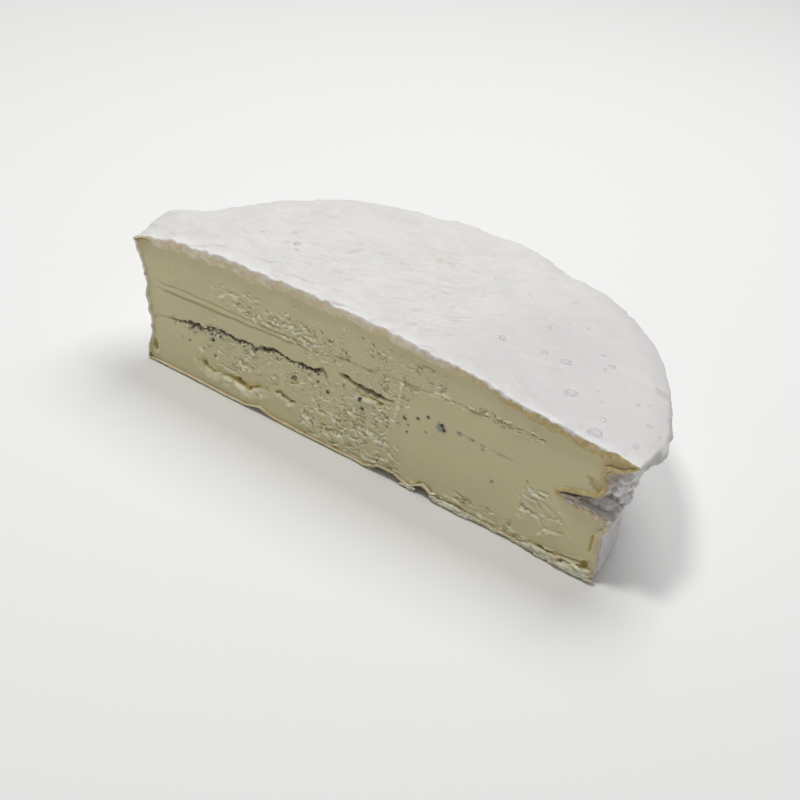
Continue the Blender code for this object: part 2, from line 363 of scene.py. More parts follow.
def band_thickness():
    """Thickness of the rind seen at the cut, mm, round the boundary."""
    x, z = LOOP[:, 0], LOOP[:, 2]
    t = np.full(NL, 1.0)
    is_top = row <= seg_row(1)
    # thick in places, with lobes that hang down between sharp cusps
    base = (1.35 + 0.45 * gauss(x, -33, 5) - 0.25 * gauss(x, -22, 4)
            + 0.55 * gauss(x, -14, 4) + 0.35 * gauss(x, -2, 4)
            + 0.25 * gauss(x, 12, 7) - 0.25 * gauss(x, 30, 8)
            + 0.75 * gauss(x, 54, 10) + 0.5 * gauss(x, -60, 4)
            - 0.25 * gauss(x, -48, 5))
    ph = x / 3.4 + 2.4 * noise(x / 6.0, 0.2, seed=31)
    lobes = np.abs(np.sin(ph)) ** 0.7
    fine = np.abs(np.sin(x / 0.95 + 1.6 * noise(x / 2.2, 5.2, seed=32))) ** 0.7
    t_top = 0.35 + 1.12 * base + 0.75 * smooth((-6 - x) / 10) \
        * smooth((x + 58) / 8) + 0.85 * (lobes - 0.6) \
        + 0.30 * (fine - 0.6) + 0.14 * noise(x / 0.6, 8.2, seed=33)
    t = np.where(is_top, t_top, t)
    # sides: thin on the left, thicker on the right and round the fold
    side = (row > seg_row(1)) & (row <= seg_row(14))
    zs = z
    left_t = 0.70 + 0.22 * noise(zs / 2.5, 1.0, seed=34) \
        + 0.5 * gauss(zs, 29.5, 1.6)
    right_t = 1.25 + 0.30 * noise(zs / 1.6, 2.0, seed=35)
    t = np.where(side & LEFT, left_t, t)
    t = np.where(side & ~LEFT, right_t, t)
    # the thin lip itself
    for k, w in ((2, 8.0),):
        for is_left in (True, False):
            dist = np.abs(row - seg_row(k)) + np.where(LEFT == is_left, 0, 999)
            t = t * (1 - 0.55 * np.exp(-(dist / w) ** 2))
    foot = row > seg_row(14)
    t_foot = 0.55 + 0.30 * smooth((x - 14) / 10) \
        + 0.22 * noise(x / 1.3, 4.0, seed=36) \
        + 0.10 * np.sin(x * 3.6)
    t = np.where(foot, t_foot, t)
    # smooth the hand-overs
    for _ in range(2):
        t = 0.5 * t + 0.25 * (np.roll(t, 1) + np.roll(t, -1))
    return np.clip(t, 0.25, 3.2)


THICK = band_thickness()
BAND_G = np.array([0.07, 0.20, 0.40, 0.64, 0.87, 1.0, 0.98])
BAND_Y = np.array([-0.15, -0.30, -0.42, -0.46, -0.36, 0.06, 0.9])


def band_rows():
    out = []
    x, z = LOOP[:, 0], LOOP[:, 2]
    for k, (g, yy) in enumerate(zip(BAND_G, BAND_Y)):
        p = LOOP.copy()
        p[:, 0] += LN[:, 0] * THICK * g
        p[:, 2] += LN[:, 1] * THICK * g
        lump = 1 + 0.55 * noise(x / 1.4, z / 1.4, 0.5 * k, seed=40) \
            + 0.35 * noise(x / 0.55, z / 0.55, 0.8 * k, seed=41)
        p[:, 1] = yy * (lump if k < 5 else 1.0)
        p[:, 2] = np.maximum(p[:, 2], 0.0)
        out.append(p)
    return out


BAND = band_rows()


def rind_mesh():
    verts, faces = [], []
    top_c = 0
    verts.append(OUT[0, 0])
    idx = np.zeros((NJ + 1, NR + 1), int)
    idx[:, 0] = 0
    body = OUT[:, 1:NR].reshape(-1, 3)
    idx[:, 1:NR] = 1 + np.arange(len(body)).reshape(NJ + 1, NR - 1)
    verts = [OUT[:1, 0], body]
    n = 1 + len(body)
    idx[:, NR] = n
    verts.append(OUT[:1, NR])
    n += 1
    a, b, c, d = (idx[:-1, 1:NR - 1], idx[1:, 1:NR - 1], idx[1:, 2:NR],
                  idx[:-1, 2:NR])
    quads = np.stack([a, d, c, b], -1).reshape(-1, 4)
    faces = [tuple(f) for f in quads.tolist()]
    faces += [(0, int(idx[j, 1]), int(idx[j + 1, 1])) for j in range(NJ)]
    faces += [(int(idx[j, NR]), int(idx[j + 1, NR - 1]), int(idx[j, NR - 1]))
              for j in range(NJ)]
    loop_idx = np.concatenate([idx[0, :], idx[-1, 1:-1][::-1]])
    prev = loop_idx
    for p in BAND:
        cur = n + np.arange(NL)
        verts.append(p)
        n += NL
        nx, cx = np.roll(prev, -1), np.roll(cur, -1)
        faces += [tuple(f) for f in np.stack([prev, nx, cx, cur],
                                             -1).tolist()]
        prev = cur
    # coarse inner skin, hidden against the paste
    cj = list(range(CJ, NJ, CJ))
    ci = list(range(CI, NR, CI))
    inner = {}
    pts = []
    for j in cj:
        for i in ci:
            t = 1.3
            q = BASE[j, i] - NORM[j, i] * t
            if i > seg_start[-1]:
                q = BASE[j, i] + np.array([0, 0, 1.2])
            q[1] = max(q[1], 0.9)
            inner[j, i] = n + len(pts)
            pts.append(q)
    verts.append(np.array(pts))
    n += len(pts)

    def loop_at(side, i):                # side 0 is +X, side 1 is -X
        if i == 0:
            return int(prev[0])
        if i == NR:
            return int(prev[NR])
        return int(prev[i]) if side == 0 else int(prev[NL - i])

    for a, b in zip(cj, cj[1:]):
        for i0, i1 in zip([0] + ci, ci + [NR]):
            if i0 == 0:
                faces.append((loop_at(0, 0), inner[a, i1], inner[b, i1]))
            elif i1 == NR:
                faces.append((loop_at(0, NR), inner[b, i0], inner[a, i0]))
            else:
                faces.append((inner[a, i0], inner[a, i1], inner[b, i1],
                              inner[b, i0]))
    for side, j in ((0, cj[0]), (1, cj[-1])):
        for i0, i1 in zip([0] + ci, ci + [NR]):
            fine = [loop_at(side, i) for i in range(i0, i1 + 1)]
            back = [inner[j, i] for i in (i1, i0) if 0 < i < NR]
            faces.append(tuple(fine + back))
    V = np.concatenate(verts)
    # masks
    m_cut = np.zeros(len(V))
    m_wet = np.zeros(len(V))
    m_tan = np.zeros(len(V))
    m_warm = np.zeros(len(V))
    m_fluff_and_painted_light = np.zeros(len(V))
    m_stain = np.zeros(len(V))
    m_spot_and_painted_shade = np.zeros(len(V))
    nb = 1 + len(body)
    m_wet[1:nb] = (WET * W_TOP * (np.arange(NR + 1)[None, :]
                                  < seg_start[2] + 6))[:, 1:NR].ravel()
    bx, by, bz = OUT[..., 0], OUT[..., 1], OUT[..., 2]
    sidey = W_SIDE * (bx > 0)
    wob = 1 + 0.5 * noise(ARC / 1.6, bz / 1.2, seed=52)
    warm = (np.exp(-(by / (1.5 * wob)) ** 2) * sidey * (bz < 15.5)
            + np.exp(-(by / (2.4 * wob)) ** 2) * sidey * (bz >= 15.5)
            * (bz < 27))
    warm = np.clip(warm, 0, 1) * (0.75 + 0.25 * noise(ARC / 0.9, bz / 0.7,
                                                      seed=53))
    warm = np.maximum(warm, np.exp(-(by / 3.5) ** 2) * W_UNDER)
    m_warm[1:nb] = warm[:, 1:NR].ravel()
    # whiter mould: fluff along the cut edge of the top, and painted light that
    # lightens the shaded crumpled fold
    fluff_and_painted_light = np.exp(-by / 2.6) * W_TOP * (0.8 + 0.4 * noise(bx / 3, by / 3,
                                                          seed=56))
    lane = (np.arange(NR + 1)[None, :] - seg_start[2]) / 7.0
    # painted light in patches over the crumpled fold
    fluff_and_painted_light = np.maximum(fluff_and_painted_light, CRUMPLE * smooth(0.50 + 1.4 * noise(
        ARC / 2.8, lane / 1.3, seed=58)))
    m_fluff_and_painted_light[1:nb] = fluff_and_painted_light[:, 1:NR].ravel()
    # painted shade: lilac-grey patches over the crumpled fold stand in for its
    # shadowed hollows
    painted_shade_patches = CRUMPLE * smooth(-0.15 + 1.7 * noise(ARC / 2.6, lane / 1.2,
                                                 seed=59))
    sx, sy = bx + 4.4, by - 38.3
    blot = np.exp(-((sx / 3.4) ** 2 + ((sy - 0.25 * sx) / 1.6) ** 2)) \
        * (0.7 + 0.6 * noise(bx / 0.9, by / 0.9, seed=57))
    blot += 0.5 * np.exp(-(((bx - 2.5) / 2.0) ** 2
                           + ((by - 39.5) / 1.0) ** 2))
    m_stain[1:nb] = np.clip(blot * W_TOP, 0, 1)[:, 1:NR].ravel()
    # a grey spot on the rim by the +X end, and the fold's painted shade
    # patches
    spot = np.exp(-(((bx - 56.6) / 2.2) ** 2
                    + ((by - 27.3) / 1.6) ** 2))
    m_spot_and_painted_shade[1:nb] = np.maximum(spot, 0.8 * painted_shade_patches)[:, 1:NR].ravel()
    m_tan[1:nb] = (smooth((bx - 8) / 30))[:, 1:NR].ravel()
    first = nb + 1
    for k in range(len(BAND)):
        sl = slice(first + k * NL, first + (k + 1) * NL)
        f = BAND_G[k] if k < 6 else 1.0
        p = V[sl]
        creep = 0.02 + 0.16 * noise(p[:, 0] / 0.8, p[:, 2] / 0.8, seed=50) \
            + 0.10 * noise(p[:, 0] / 3.0, p[:, 2] / 3.0, seed=51)
        creep = np.where(row <= seg_row(1), creep, creep - 0.15)
        m_cut[sl] = smooth((f - creep) / 0.25)
        m_tan[sl] = smooth((p[:, 0] - 8) / 30)
        left_side = LEFT & (row > seg_row(2)) & (row < seg_row(13))
        m_cut[sl] *= np.where(left_side, 0.45, 1.0)
        dash = smooth(0.5 + 1.3 * noise(p[:, 0] / 0.9, 3.0, seed=54))
        foot = row > seg_row(14)
        m_cut[sl] = np.where(foot, 1.0, m_cut[sl])
        low_wall = ~LEFT & (row > seg_row(8)) & ~foot
        m_tan[sl] = np.where(low_wall, 0.45 * m_tan[sl], m_tan[sl])
        m_tan[sl] = np.where(foot, 0.12 + 0.50 * dash, m_tan[sl])
    m_cut[first + 7 * NL:] = 1.0
    return V, faces, {"cut": m_cut, "wet": m_wet, "tan": m_tan,
                      "warm": m_warm, "fluff_and_painted_light": m_fluff_and_painted_light, "stain": m_stain,
                      "spot_and_painted_shade": m_spot_and_painted_shade}


def make_object(name, V, faces, masks=None, smooth_angle=None, recalc=True):
    me = bpy.data.meshes.new(name)
    W = np.array(V, float) + np.array([WHEEL_X, WHEEL_Y, 0.0])
    me.from_pydata((W * MM).tolist(), [], faces)
    for key, val in (masks or {}).items():
        at = me.attributes.new(key, 'FLOAT', 'POINT')
        at.data.foreach_set("value", np.asarray(val, np.float32))
    me.validate(clean_customdata=False)
    if recalc:
        bm = bmesh.new()
        bm.from_mesh(me)
        bmesh.ops.recalc_face_normals(bm, faces=bm.faces)
        if bm.calc_volume(signed=True) < 0:
            bmesh.ops.reverse_faces(bm, faces=bm.faces)
        bm.to_mesh(me)
        bm.free()
    me.shade_smooth()
    if smooth_angle:
        me.set_sharp_from_angle(angle=math.radians(smooth_angle))
    ob = bpy.data.objects.new(name, me)
    bpy.context.scene.collection.objects.link(ob)
    return ob


# -------------------------------------------------------------------- paste
INSET = 0.45
P0 = BASE[0][:, [0, 2]]
P1 = BASE[-1][:, [0, 2]]
N0 = LN[:NR + 1]
row_C = seg_row(2)
row_O = seg_row(15)


def side_line(P, sign):
    """Inset side outline below the lip as x(z), z rising."""
    rows = np.arange(row_C, row_O + 1)
    q = P[rows].copy()
    t = np.gradient(q, axis=0)
    t /= np.maximum(np.linalg.norm(t, axis=1, keepdims=True), 1e-9)
    n = np.stack([t[:, 1], -t[:, 0]], 1)          # right-hand of travel down
    n *= np.where(n[:, 0:1] * sign > 0, -1, 1) * 1.0
    q = q + INSET * n
    q[:, 1] = np.minimum.accumulate(q[:, 1])
    z = q[::-1, 1] + 1e-6 * np.arange(len(q))
    return z, q[::-1, 0]


ZR, XR_ = side_line(P0, 1.0)
ZL, XL_ = side_line(P1, -1.0)
rows_top = np.arange(0, row_C + 1)
TX = np.concatenate([P1[rows_top][::-1][:-1, 0], P0[rows_top][:, 0]])
TZ = np.concatenate([P1[rows_top][::-1][:-1, 1], P0[rows_top][:, 1]]) - INSET


def z_roof(x):
    return np.interp(x, TX, TZ)


def z_floor(x):
    return 0.50 + chip_height(x) * (np.abs(x) < 58)


NU, NV = 580, 150
XLIM = 59.0


def paste_grid():
    v = np.arange(NV + 1) / NV
    xr = np.full(NV + 1, 60.0)
    xl = np.full(NV + 1, -60.0)
    for _ in range(6):
        zr = z_floor(xr) + (z_roof(xr) - z_floor(xr)) * v
        xr = np.interp(zr, ZR, XR_)
        zl = z_floor(xl) + (z_roof(xl) - z_floor(xl)) * v
        xl = np.interp(zl, ZL, XL_)
    x0 = np.linspace(-XLIM, XLIM, NU + 1)
    wr = smooth((x0 - 34.0) / (XLIM - 34.0))[:, None]
    wl = smooth((-x0 - 42.0) / (XLIM - 42.0))[:, None]
    X = x0[:, None] + wr * (xr[None, :] - XLIM) + wl * (xl[None, :] + XLIM)
    zf, zr_ = z_floor(X), z_roof(X)
    Z = zf + (zr_ - zf) * v[None, :]
    return X, Z


def box_mask(X, Z, x0, x1, z0, z1, sx=2.0, sz=1.2):
    return (smooth((X - x0) / sx + 0.5) * smooth((x1 - X) / sx + 0.5)
            * smooth((Z - z0) / sz + 0.5) * smooth((z1 - Z) / sz + 0.5))


def polyline(X, Z, pts):
    """Distance to a polyline, height above it and how far along it is."""
    pts = np.array(pts, float)
    best = np.full(X.shape, 1e9)
    side = np.zeros(X.shape)
    along = np.zeros(X.shape)
    lens = np.linalg.norm(np.diff(pts, axis=0), axis=1)
    tot, acc = lens.sum(), 0.0
    for (a, b), L in zip(zip(pts, pts[1:]), lens):
        d = (b - a) / L
        t = np.clip((X - a[0]) * d[0] + (Z - a[1]) * d[1], 0, L)
        ex, ez = X - (a[0] + d[0] * t), Z - (a[1] + d[1] * t)
        r = np.hypot(ex, ez)
        m = r < best
        best = np.where(m, r, best)
        side = np.where(m, np.sign(ez * d[0] - ex * d[1]) * r, side)
        along = np.where(m, (acc + t) / tot, along)
        acc += L
    return best, side, along


TRUFFLE_LINE = [(-55, 12.5), (-52, 13.6), (-50, 14.0), (-45, 14.6),
                (-42, 15.4), (-38, 16.2), (-34, 15.8), (-31, 16.3),
                (-29, 15.9), (-27, 16.7), (-23, 17.6), (-20, 17.3),
                (-16.3, 17.3), (-14.5, 17.6), (-12.7, 17.4), (-10.7, 18.3),
                (-8.9, 17.6), (-8.2, 17.3)]
CRACK = [(-6.2, 19.7), (-4.1, 19.5), (-1.7, 18.8), (0.3, 18.6), (2.3, 18.7),
         (4.0, 18.8), (5.4, 18.5), (7.2, 18.9), (8.8, 19.3)]
# specks of truffle in the paste: x, z, radius, darkness, kind
SPECKS = [(11.8, 16.7, 0.50, 0.85, 0), (15.0, 18.0, 0.45, 0.9, 0),
          (17.3, 19.5, 0.42, 0.9, 0), (20.8, 18.9, 0.62, 1.0, 0),
          (21.5, 18.2, 0.50, 1.0, 0), (20.3, 18.1, 0.95, 0.55, 2),
          (25.0, 19.2, 0.50, 0.55, 2), (28.5, 19.0, 0.40, 0.6, 2),
          (12.8, 15.3, 0.35, 0.6, 1), (12.8, 13.5, 0.40, 0.65, 1),
          (17.3, 15.6, 0.45, 0.6, 1), (31.0, 18.0, 0.35, 0.6, 1),
          (34.5, 11.5, 0.50, 0.55, 3), (42.3, 15.7, 0.40, 0.5, 3),
          (21.0, 14.2, 0.35, 0.25, 2), (19.5, 16.0, 0.40, 0.25, 2),
          (-50.0, 9.8, 0.45, 0.5, 1), (-47.7, 9.8, 0.45, 0.6, 1),
          (-41.0, 12.8, 0.55, 0.85, 0), (-36.5, 12.3, 0.55, 0.35, 1),
          (-31.3, 14.0, 0.80, 0.45, 2), (-17.4, 13.3, 0.85, 0.8, 1),
          (-8.4, 13.7, 0.40, 0.8, 0), (0.0, 15.7, 0.50, 0.85, 0),
          (1.0, 13.8, 0.50, 0.8, 0), (-1.7, 12.0, 0.45, 0.45, 2),
          (-40.1, 8.8, 0.40, 0.65, 0), (-23.1, 9.1, 0.40, 0.35, 2),
          (-11.2, 15.1, 0.38, 0.75, 0), (-22.6, 16.0, 0.45, 0.7, 1),
          (-28.9, 15.4, 0.60, 0.7, 1), (-46.5, 12.4, 0.30, 0.5, 0),
          (-52.5, 12.2, 0.35, 0.5, 1), (-6.2, 12.6, 0.30, 0.5, 1),
          (33.5, 19.0, 0.30, 0.4, 2), (-35.3, 14.6, 0.35, 0.45, 2),
          (-13.6, 15.9, 0.35, 0.6, 1), (5.2, 16.9, 0.45, 0.5, 3)]


def paste_relief(X, Z):
    """Depth (mm, into the cheese) and colour masks over the cut face."""
    D = np.zeros(X.shape)
    # ochre: painted shade in the torn hollows and pits, and a real ochre halo
    # round a few brown specks
    ochre_stain_and_painted_shade = np.zeros(X.shape)
    # pale: paler torn paste, with a painted highlight on the lips that face up
    pale_and_painted_highlight = np.zeros(X.shape)
    dark = np.zeros(X.shape)
    brown = np.zeros(X.shape)
    blue = np.zeros(X.shape)
    n1 = noise(X / 1.1, Z / 0.45, seed=101)
    n2 = noise(X / 0.55, Z / 0.30, seed=102)
    n3 = fbm(X / 3.0, Z / 1.6, seed=103, octaves=3)
    n4 = fbm(X / 0.8, Z / 0.8, seed=104, octaves=2)
    # slow swells left by the knife
    D += 0.10 * fbm(X / 16, Z / 9, seed=105, octaves=2)
    D += 0.012 * noise(X / 6, Z / 0.5, seed=106)

    def groove(pts, depth, width, fade=0.08, wob=0.0, sd=0):
        nonlocal D
        zz = Z + wob * noise(X / 3.5, sd, seed=110 + sd)
        d, s, a = polyline(X, zz, pts)
        w = smooth(a / fade) * smooth((1 - a) / fade)
        f = depth * np.exp(-(d / width) ** 2) * w
        D += f
        return d, s, a, w

    A = [(-62, 21.0), (-50, 21.7), (-40, 22.0), (-30, 22.3), (-20, 22.7),
         (-10, 23.3), (0, 23.9), (8, 24.6)]
    B = [(-60, 19.5), (-50, 20.0), (-40, 20.5), (-30, 21.0), (-20, 21.7),
         (-10, 22.5), (-3, 23.0)]
    for pts, dp, sd in ((A, 0.30, 1), (B, 0.40, 2)):
        groove(pts, dp, 0.32, 0.10, 0.12, sd)
    mid = [(a[0], 0.5 * (a[1] + b[1])) for a, b in zip(A, B)]
    groove(mid, -0.16, 0.42, 0.15, 0.1, 3)
    C = [(0, 24.8), (10, 25.0), (20, 25.7), (30, 26.0), (38, 26.6),
         (45, 26.7)]
    d, s, a, w = groove(C, 0.26, 0.28, 0.12, 0.25, 4)
    D -= 0.12 * np.exp(-((s + 0.60) / 0.28) ** 2) * w * (0.6 + n1)
    broken = smooth(0.4 + 1.6 * noise(X / 0.9, 2.0, seed=121)) * w \
        * smooth((X - 19) / 3)
    lip = np.exp(-((s - 0.42 - 0.12 * n1) / 0.22) ** 2) * broken
    D -= 0.30 * lip
    # painted highlight on the broken lip of the ridge
    pale_and_painted_highlight = np.maximum(pale_and_painted_highlight, lip)
    D += 0.30 * np.exp(-((s + 0.15) / 0.2) ** 2) * broken

    # ---- terraces of torn paste: every step dips in and ends at a lip
    M = np.zeros(X.shape)
    for x0, x1, z0, z1, amt in ((-43, -29, 22.8, 30.0, 0.42),
                                (-31, -7, 22.4, 28.0, 0.62),
                                (-9, 21, 22.8, 31.0, 0.50),
                                (-43, -24, 8.0, 15.5, 0.50),
                                (-26, -6, 8.5, 16.8, 0.38),
                                (-9, 10.5, 9.0, 18.0, 0.42),
                                (-14, 11, 0.8, 9.0, 0.72),
                                (-18, 8, 19.6, 23.0, 0.50),
                                (4, 12, 13.5, 25.0, 0.8),
                                (14, 42, 1.6, 4.8, 0.5),
                                (19, 46, 25.4, 27.2, 0.7)):
        M = np.maximum(M, amt * box_mask(X, Z, x0, x1, z0, z1, 5.0, 2.2))
    for lam, amp, bias, sd in ((1.35, 0.46, -0.05, 1), (0.66, 0.18, 0.1, 2)):
        ph = (Z + 0.06 * X) / lam + 0.95 * noise(X / 1.9, Z / 1.5,
                                                 seed=710 + sd) \
            + 0.45 * noise(X / 0.6, Z / 0.6, seed=720 + sd)
        cell = np.floor(ph)
        fr = ph - cell
        on = noise(X / 1.5, cell * 7.13, seed=730 + sd) \
            + 0.6 * noise(X / 5.0, Z / 3.0, seed=740 + sd)
        on = smooth((on - bias - 0.9 * (1 - M)) / 0.35) * smooth(M / 0.35)
        cell2 = noise(X / 1.5, (cell + 1) * 7.13, seed=730 + sd) \
            + 0.6 * noise(X / 5.0, Z / 3.0, seed=740 + sd)
        on2 = smooth((cell2 - bias - 0.9 * (1 - M)) / 0.35) \
            * smooth(M / 0.35)
        dip = (1 - fr) ** 1.4 * smooth(fr / 0.10)
        lipf = np.exp(-((1 - fr) / 0.22) ** 2)
        D += amp * dip * on - 0.42 * amp * lipf * on2
        # ochre painted shade at the top of each dip, pale painted highlight on
        # each lip
        ochre_stain_and_painted_shade += 0.50 * amp / 0.34 * on * np.exp(-((fr - 0.16) / 0.16) ** 2)
        pale_and_painted_highlight += 0.95 * on2 * lipf

    # ---- small torn flakes: each dips in from above and ends at a raised
    # lower lip.  x0, x1, z0, z1, how many, half width, half height, depth,
    # tilt, seed
    zones = [(-42, -29, 23.0, 29.8, 34, 0.95, 0.42, 0.55, -0.35, 1),
             (-30, -8, 22.6, 27.6, 95, 0.90, 0.40, 0.60, -0.30, 2),
             (-8, 9, 23.5, 30.5, 46, 0.70, 0.34, 0.42, -0.25, 3),
             (9, 22, 26.0, 31.0, 22, 0.60, 0.30, 0.30, -0.25, 4),
             (-20, -6, 28.0, 32.0, 16, 0.60, 0.30, 0.30, -0.3, 5),
             (-43, -24, 8.0, 15.0, 42, 0.90, 0.40, 0.45, -0.40, 6),
             (-26, -8, 9.0, 16.6, 52, 0.75, 0.42, 0.50, -0.20, 7),
             (-9, 10, 9.0, 17.5, 60, 0.95, 0.50, 0.52, -0.15, 8),
             (-15, 12, 0.8, 9.0, 105, 1.25, 0.52, 0.72, -0.15, 9),
             (-46, -40, 16.0, 20.0, 8, 0.5, 0.3, 0.25, -0.2, 10),
             (-18, 8, 19.8, 23.0, 34, 0.75, 0.36, 0.45, -0.15, 11),
             (5, 12, 13.5, 25.0, 26, 0.60, 0.42, 0.45, 0.2, 12),
             (-43, -8, 12.5, 16.5, 46, 0.55, 0.32, 0.45, -0.2, 13),
             (40, 53, 6.5, 15.0, 95, 0.95, 0.26, 0.34, -0.75, 14),
             (45, 57, 4.6, 11.0, 60, 1.00, 0.24, 0.30, -0.70, 15),
             (14, 42, 2.0, 4.6, 26, 0.80, 0.25, 0.28, -0.1, 16),
             (20, 46, 25.6, 27.0, 44, 0.75, 0.22, 0.36, 0.05, 17),
             (-56, 58, 1.5, 30, 60, 0.45, 0.24, 0.16, -0.2, 18)]
    midk = X.shape[1] // 2
    xs, col = X[:, midk], np.arange(X.shape[1])
    for x0, x1, z0, z1, cnt, ha, hb, dp, tilt, sd in zones:
        rng = np.random.RandomState(900 + sd)
        for q in range(int(cnt * 0.6)):
            fx = x0 + (x1 - x0) * rng.rand()
            fz = z0 + (z1 - z0) * rng.rand()
            k = 0.55 + 0.75 * rng.rand() ** 1.3
            a, b = ha * k * (0.8 + 0.6 * rng.rand()), hb * k
            d = dp * (0.45 + 0.75 * rng.rand())
            t = 0.45 * tilt + 0.32 * rng.randn()
            ia = np.searchsorted(xs, fx - 2.6 * a - 0.5)
            ib = np.searchsorted(xs, fx + 2.6 * a + 0.5)
            if ib - ia < 2:
                continue
            im = min((ia + ib) // 2, X.shape[0] - 1)
            ks = np.where(np.abs(Z[im] - fz) < 3.2 * b + 1.6 * a
                          * abs(math.sin(t)) + 0.5)[0]
            if len(ks) < 2:
                continue
            sl = (slice(ia, ib), slice(ks[0], ks[-1] + 1))
            xx, zz = X[sl] - fx, Z[sl] - fz
            ct, st = math.cos(t), math.sin(t)
            u = (xx * ct + zz * st) / a
            v = (-xx * st + zz * ct) / b
            u = u + 0.40 * noise(X[sl] / 0.5, Z[sl] / 0.5, q, seed=sd)
            v = v + 0.75 * noise(X[sl] / 0.50, Z[sl] / 0.9, q + 7.5,
                                 seed=sd + 20)
            w = np.clip(1 - u * u, 0, 1) ** 0.6
            g = (v + 0.9 * w) / (1.9 * w + 0.15)
            dip = w * np.clip(1 - g, 0, 1) ** 1.2 * smooth(g / 0.14 + 0.35) \
                * (g > -0.05)
            lipf = w * np.exp(-((v + 0.9 * w + 0.50) / 0.42) ** 2)
            D[sl] += 0.55 * d * dip - 0.46 * d * lipf
            # ochre painted shade in the dip, pale painted highlight on the lip
            ochre_stain_and_painted_shade[sl] += 0.30 * min(d / 0.5, 1.2) * dip ** 1.5
            pale_and_painted_highlight[sl] += 0.85 * min(d / 0.35, 1.1) * lipf

    # tiny marks in a column near the -X end
    m = box_mask(X, Z, -56.2, -51.6, 21, 28.5, 1.2, 1.0)
    D -= 0.10 * m * smooth((noise(X / 0.5, Z / 0.35, seed=180) - 0.1) / 0.3)

    # fan of fine arc-shaped tears at the +X end
    ax, az = 38.0, -4.0
    rad = np.hypot(X - ax, (Z - az) * 1.05)
    angm = np.arctan2(Z - az, X - ax)
    m = (smooth((X - 40.5) / 3) * smooth((59.0 - X) / 4)
         * smooth((Z - 5.2) / 2) * smooth((15.6 - Z) / 1.6)
         * smooth((53.5 - X + 0.55 * (14 - Z)) / 4))
    f = noise(rad / 0.62, angm * 5.0, seed=190) \
        + 0.4 * noise(rad / 0.34, angm * 10.0, seed=191)
    D += 0.13 * m * smooth((f - 0.05) / 0.35) \
        - 0.08 * m * smooth((-f - 0.1) / 0.3)
    pale_and_painted_highlight += 0.25 * m * smooth((-f - 0.1) / 0.3)
    for pts in ([(41.6, 13.0), (42.7, 12.4), (44.0, 12.2), (45.5, 12.7)],
                [(42.7, 15.0), (44.0, 13.9), (45.5, 13.8), (47.4, 14.1)],
                [(44.6, 14.8), (46.6, 15.0), (47.7, 15.3)]):
        d, s, a = polyline(X, Z, pts)
        w = smooth(a / 0.15) * smooth((1 - a) / 0.15)
        D += 0.38 * np.exp(-(d / 0.25) ** 2) * w
        D -= 0.22 * np.exp(-((s + 0.45) / 0.22) ** 2) * w
        pale_and_painted_highlight += 0.6 * np.exp(-((s + 0.45) / 0.25) ** 2) * w

    # ---- scoops: a line below which the paste stands proud and above which
    # it is torn out.  pts, depth, reach above, lip, ochre painted as shade
    scoops = [
        ([(-46.5, 6.3), (-43.2, 5.2), (-41.0, 4.4), (-37.8, 5.0),
          (-34.3, 5.1), (-31.6, 4.5), (-29.7, 4.4), (-28.0, 5.6),
          (-26.2, 6.4), (-22.8, 5.9)], 1.15, 1.9, 0.34, 0.9),
        ([(-34.5, 5.0), (-31.6, 4.3), (-29.4, 4.3), (-27.6, 5.4)],
         0.70, 1.5, 0.10, 0.9),
        ([(-45.5, 9.8), (-43.5, 9.0), (-41.0, 8.8), (-39.0, 9.4)],
         0.30, 0.7, 0.12, 0.3),
        ([(-40.0, 7.2), (-37.5, 7.5), (-34.8, 7.2), (-32.5, 7.4)],
         0.35, 0.6, 0.14, 0.4),
        ([(-22.2, 7.6), (-20.6, 6.7), (-18.5, 6.3), (-16.4, 6.6)],
         1.25, 1.0, 0.30, 1.0),
        ([(-33.6, 11.2), (-31.4, 10.2), (-28.6, 10.1)], 0.65, 0.8, 0.16, 0.7),
        ([(-14.4, 6.6), (-12.9, 4.4), (-11.0, 2.9)], 0.70, 1.3, 0.15, 0.5),
        ([(-9.5, 3.6), (-7.6, 3.7), (-4.8, 4.3), (-3.2, 5.2)],
         0.80, 0.9, 0.25, 0.8),
        ([(-1.6, 17.3), (0.2, 16.7), (1.8, 16.6), (3.4, 17.0),
          (5.6, 16.6), (6.6, 17.0)], 0.85, 1.1, 0.25, 1.3),
        ([(41.8, 9.5), (43.3, 9.1), (45.3, 8.6)], 0.75, 0.55, 0.30, 1.0),
        ([(46.5, 4.6), (47.6, 6.0), (49.0, 6.9), (50.8, 7.1),
          (52.6, 7.4)], 0.42, 0.55, 0.22, 0.6),
        ([(3.2, 9.2), (5.0, 8.6), (7.0, 8.9)], 0.5, 0.7, 0.2, 0.6),
        ([(-6.5, 8.0), (-4.6, 7.4), (-2.2, 7.9)], 0.5, 0.8, 0.2, 0.6),
        ([(-37.5, 27.2), (-36.0, 26.6), (-34.6, 27.0)], 0.5, .6, .2, 0.6),
        ([(-36.2, 24.6), (-34.6, 24.2), (-32.6, 24.6)], 0.6, .6, .25, .6),
        ([(-28.5, 24.0), (-26.5, 23.6), (-24.6, 24.0)], 0.6, .6, .3, .6),
        ([(-22.0, 25.6), (-20.4, 25.3), (-18.6, 25.8)], 0.5, .6, .3, .6),
        ([(-16.5, 23.9), (-14.6, 23.6), (-12.4, 24.2)], 0.5, .6, .3, .6),
        ([(16.2, 26.0), (17.6, 25.6), (19.6, 26.2), (21.2, 27.6)],
         0.45, 1.3, 0.12, 0.0),
    ]
    for k, (pts, depth, reach, lp, hollow_shade) in enumerate(scoops):
        jx = 0.55 * noise(X / 1.1, Z / 1.1, seed=200 + k) \
            + 0.22 * noise(X / 0.45, Z / 0.45, seed=210 + k)
        jz = 0.42 * noise(X / 1.0, Z / 1.6, seed=220 + k) \
            + 0.20 * noise(X / 0.42, Z / 0.6, seed=240 + k)
        d, s, a = polyline(X + jx, Z + jz, pts)
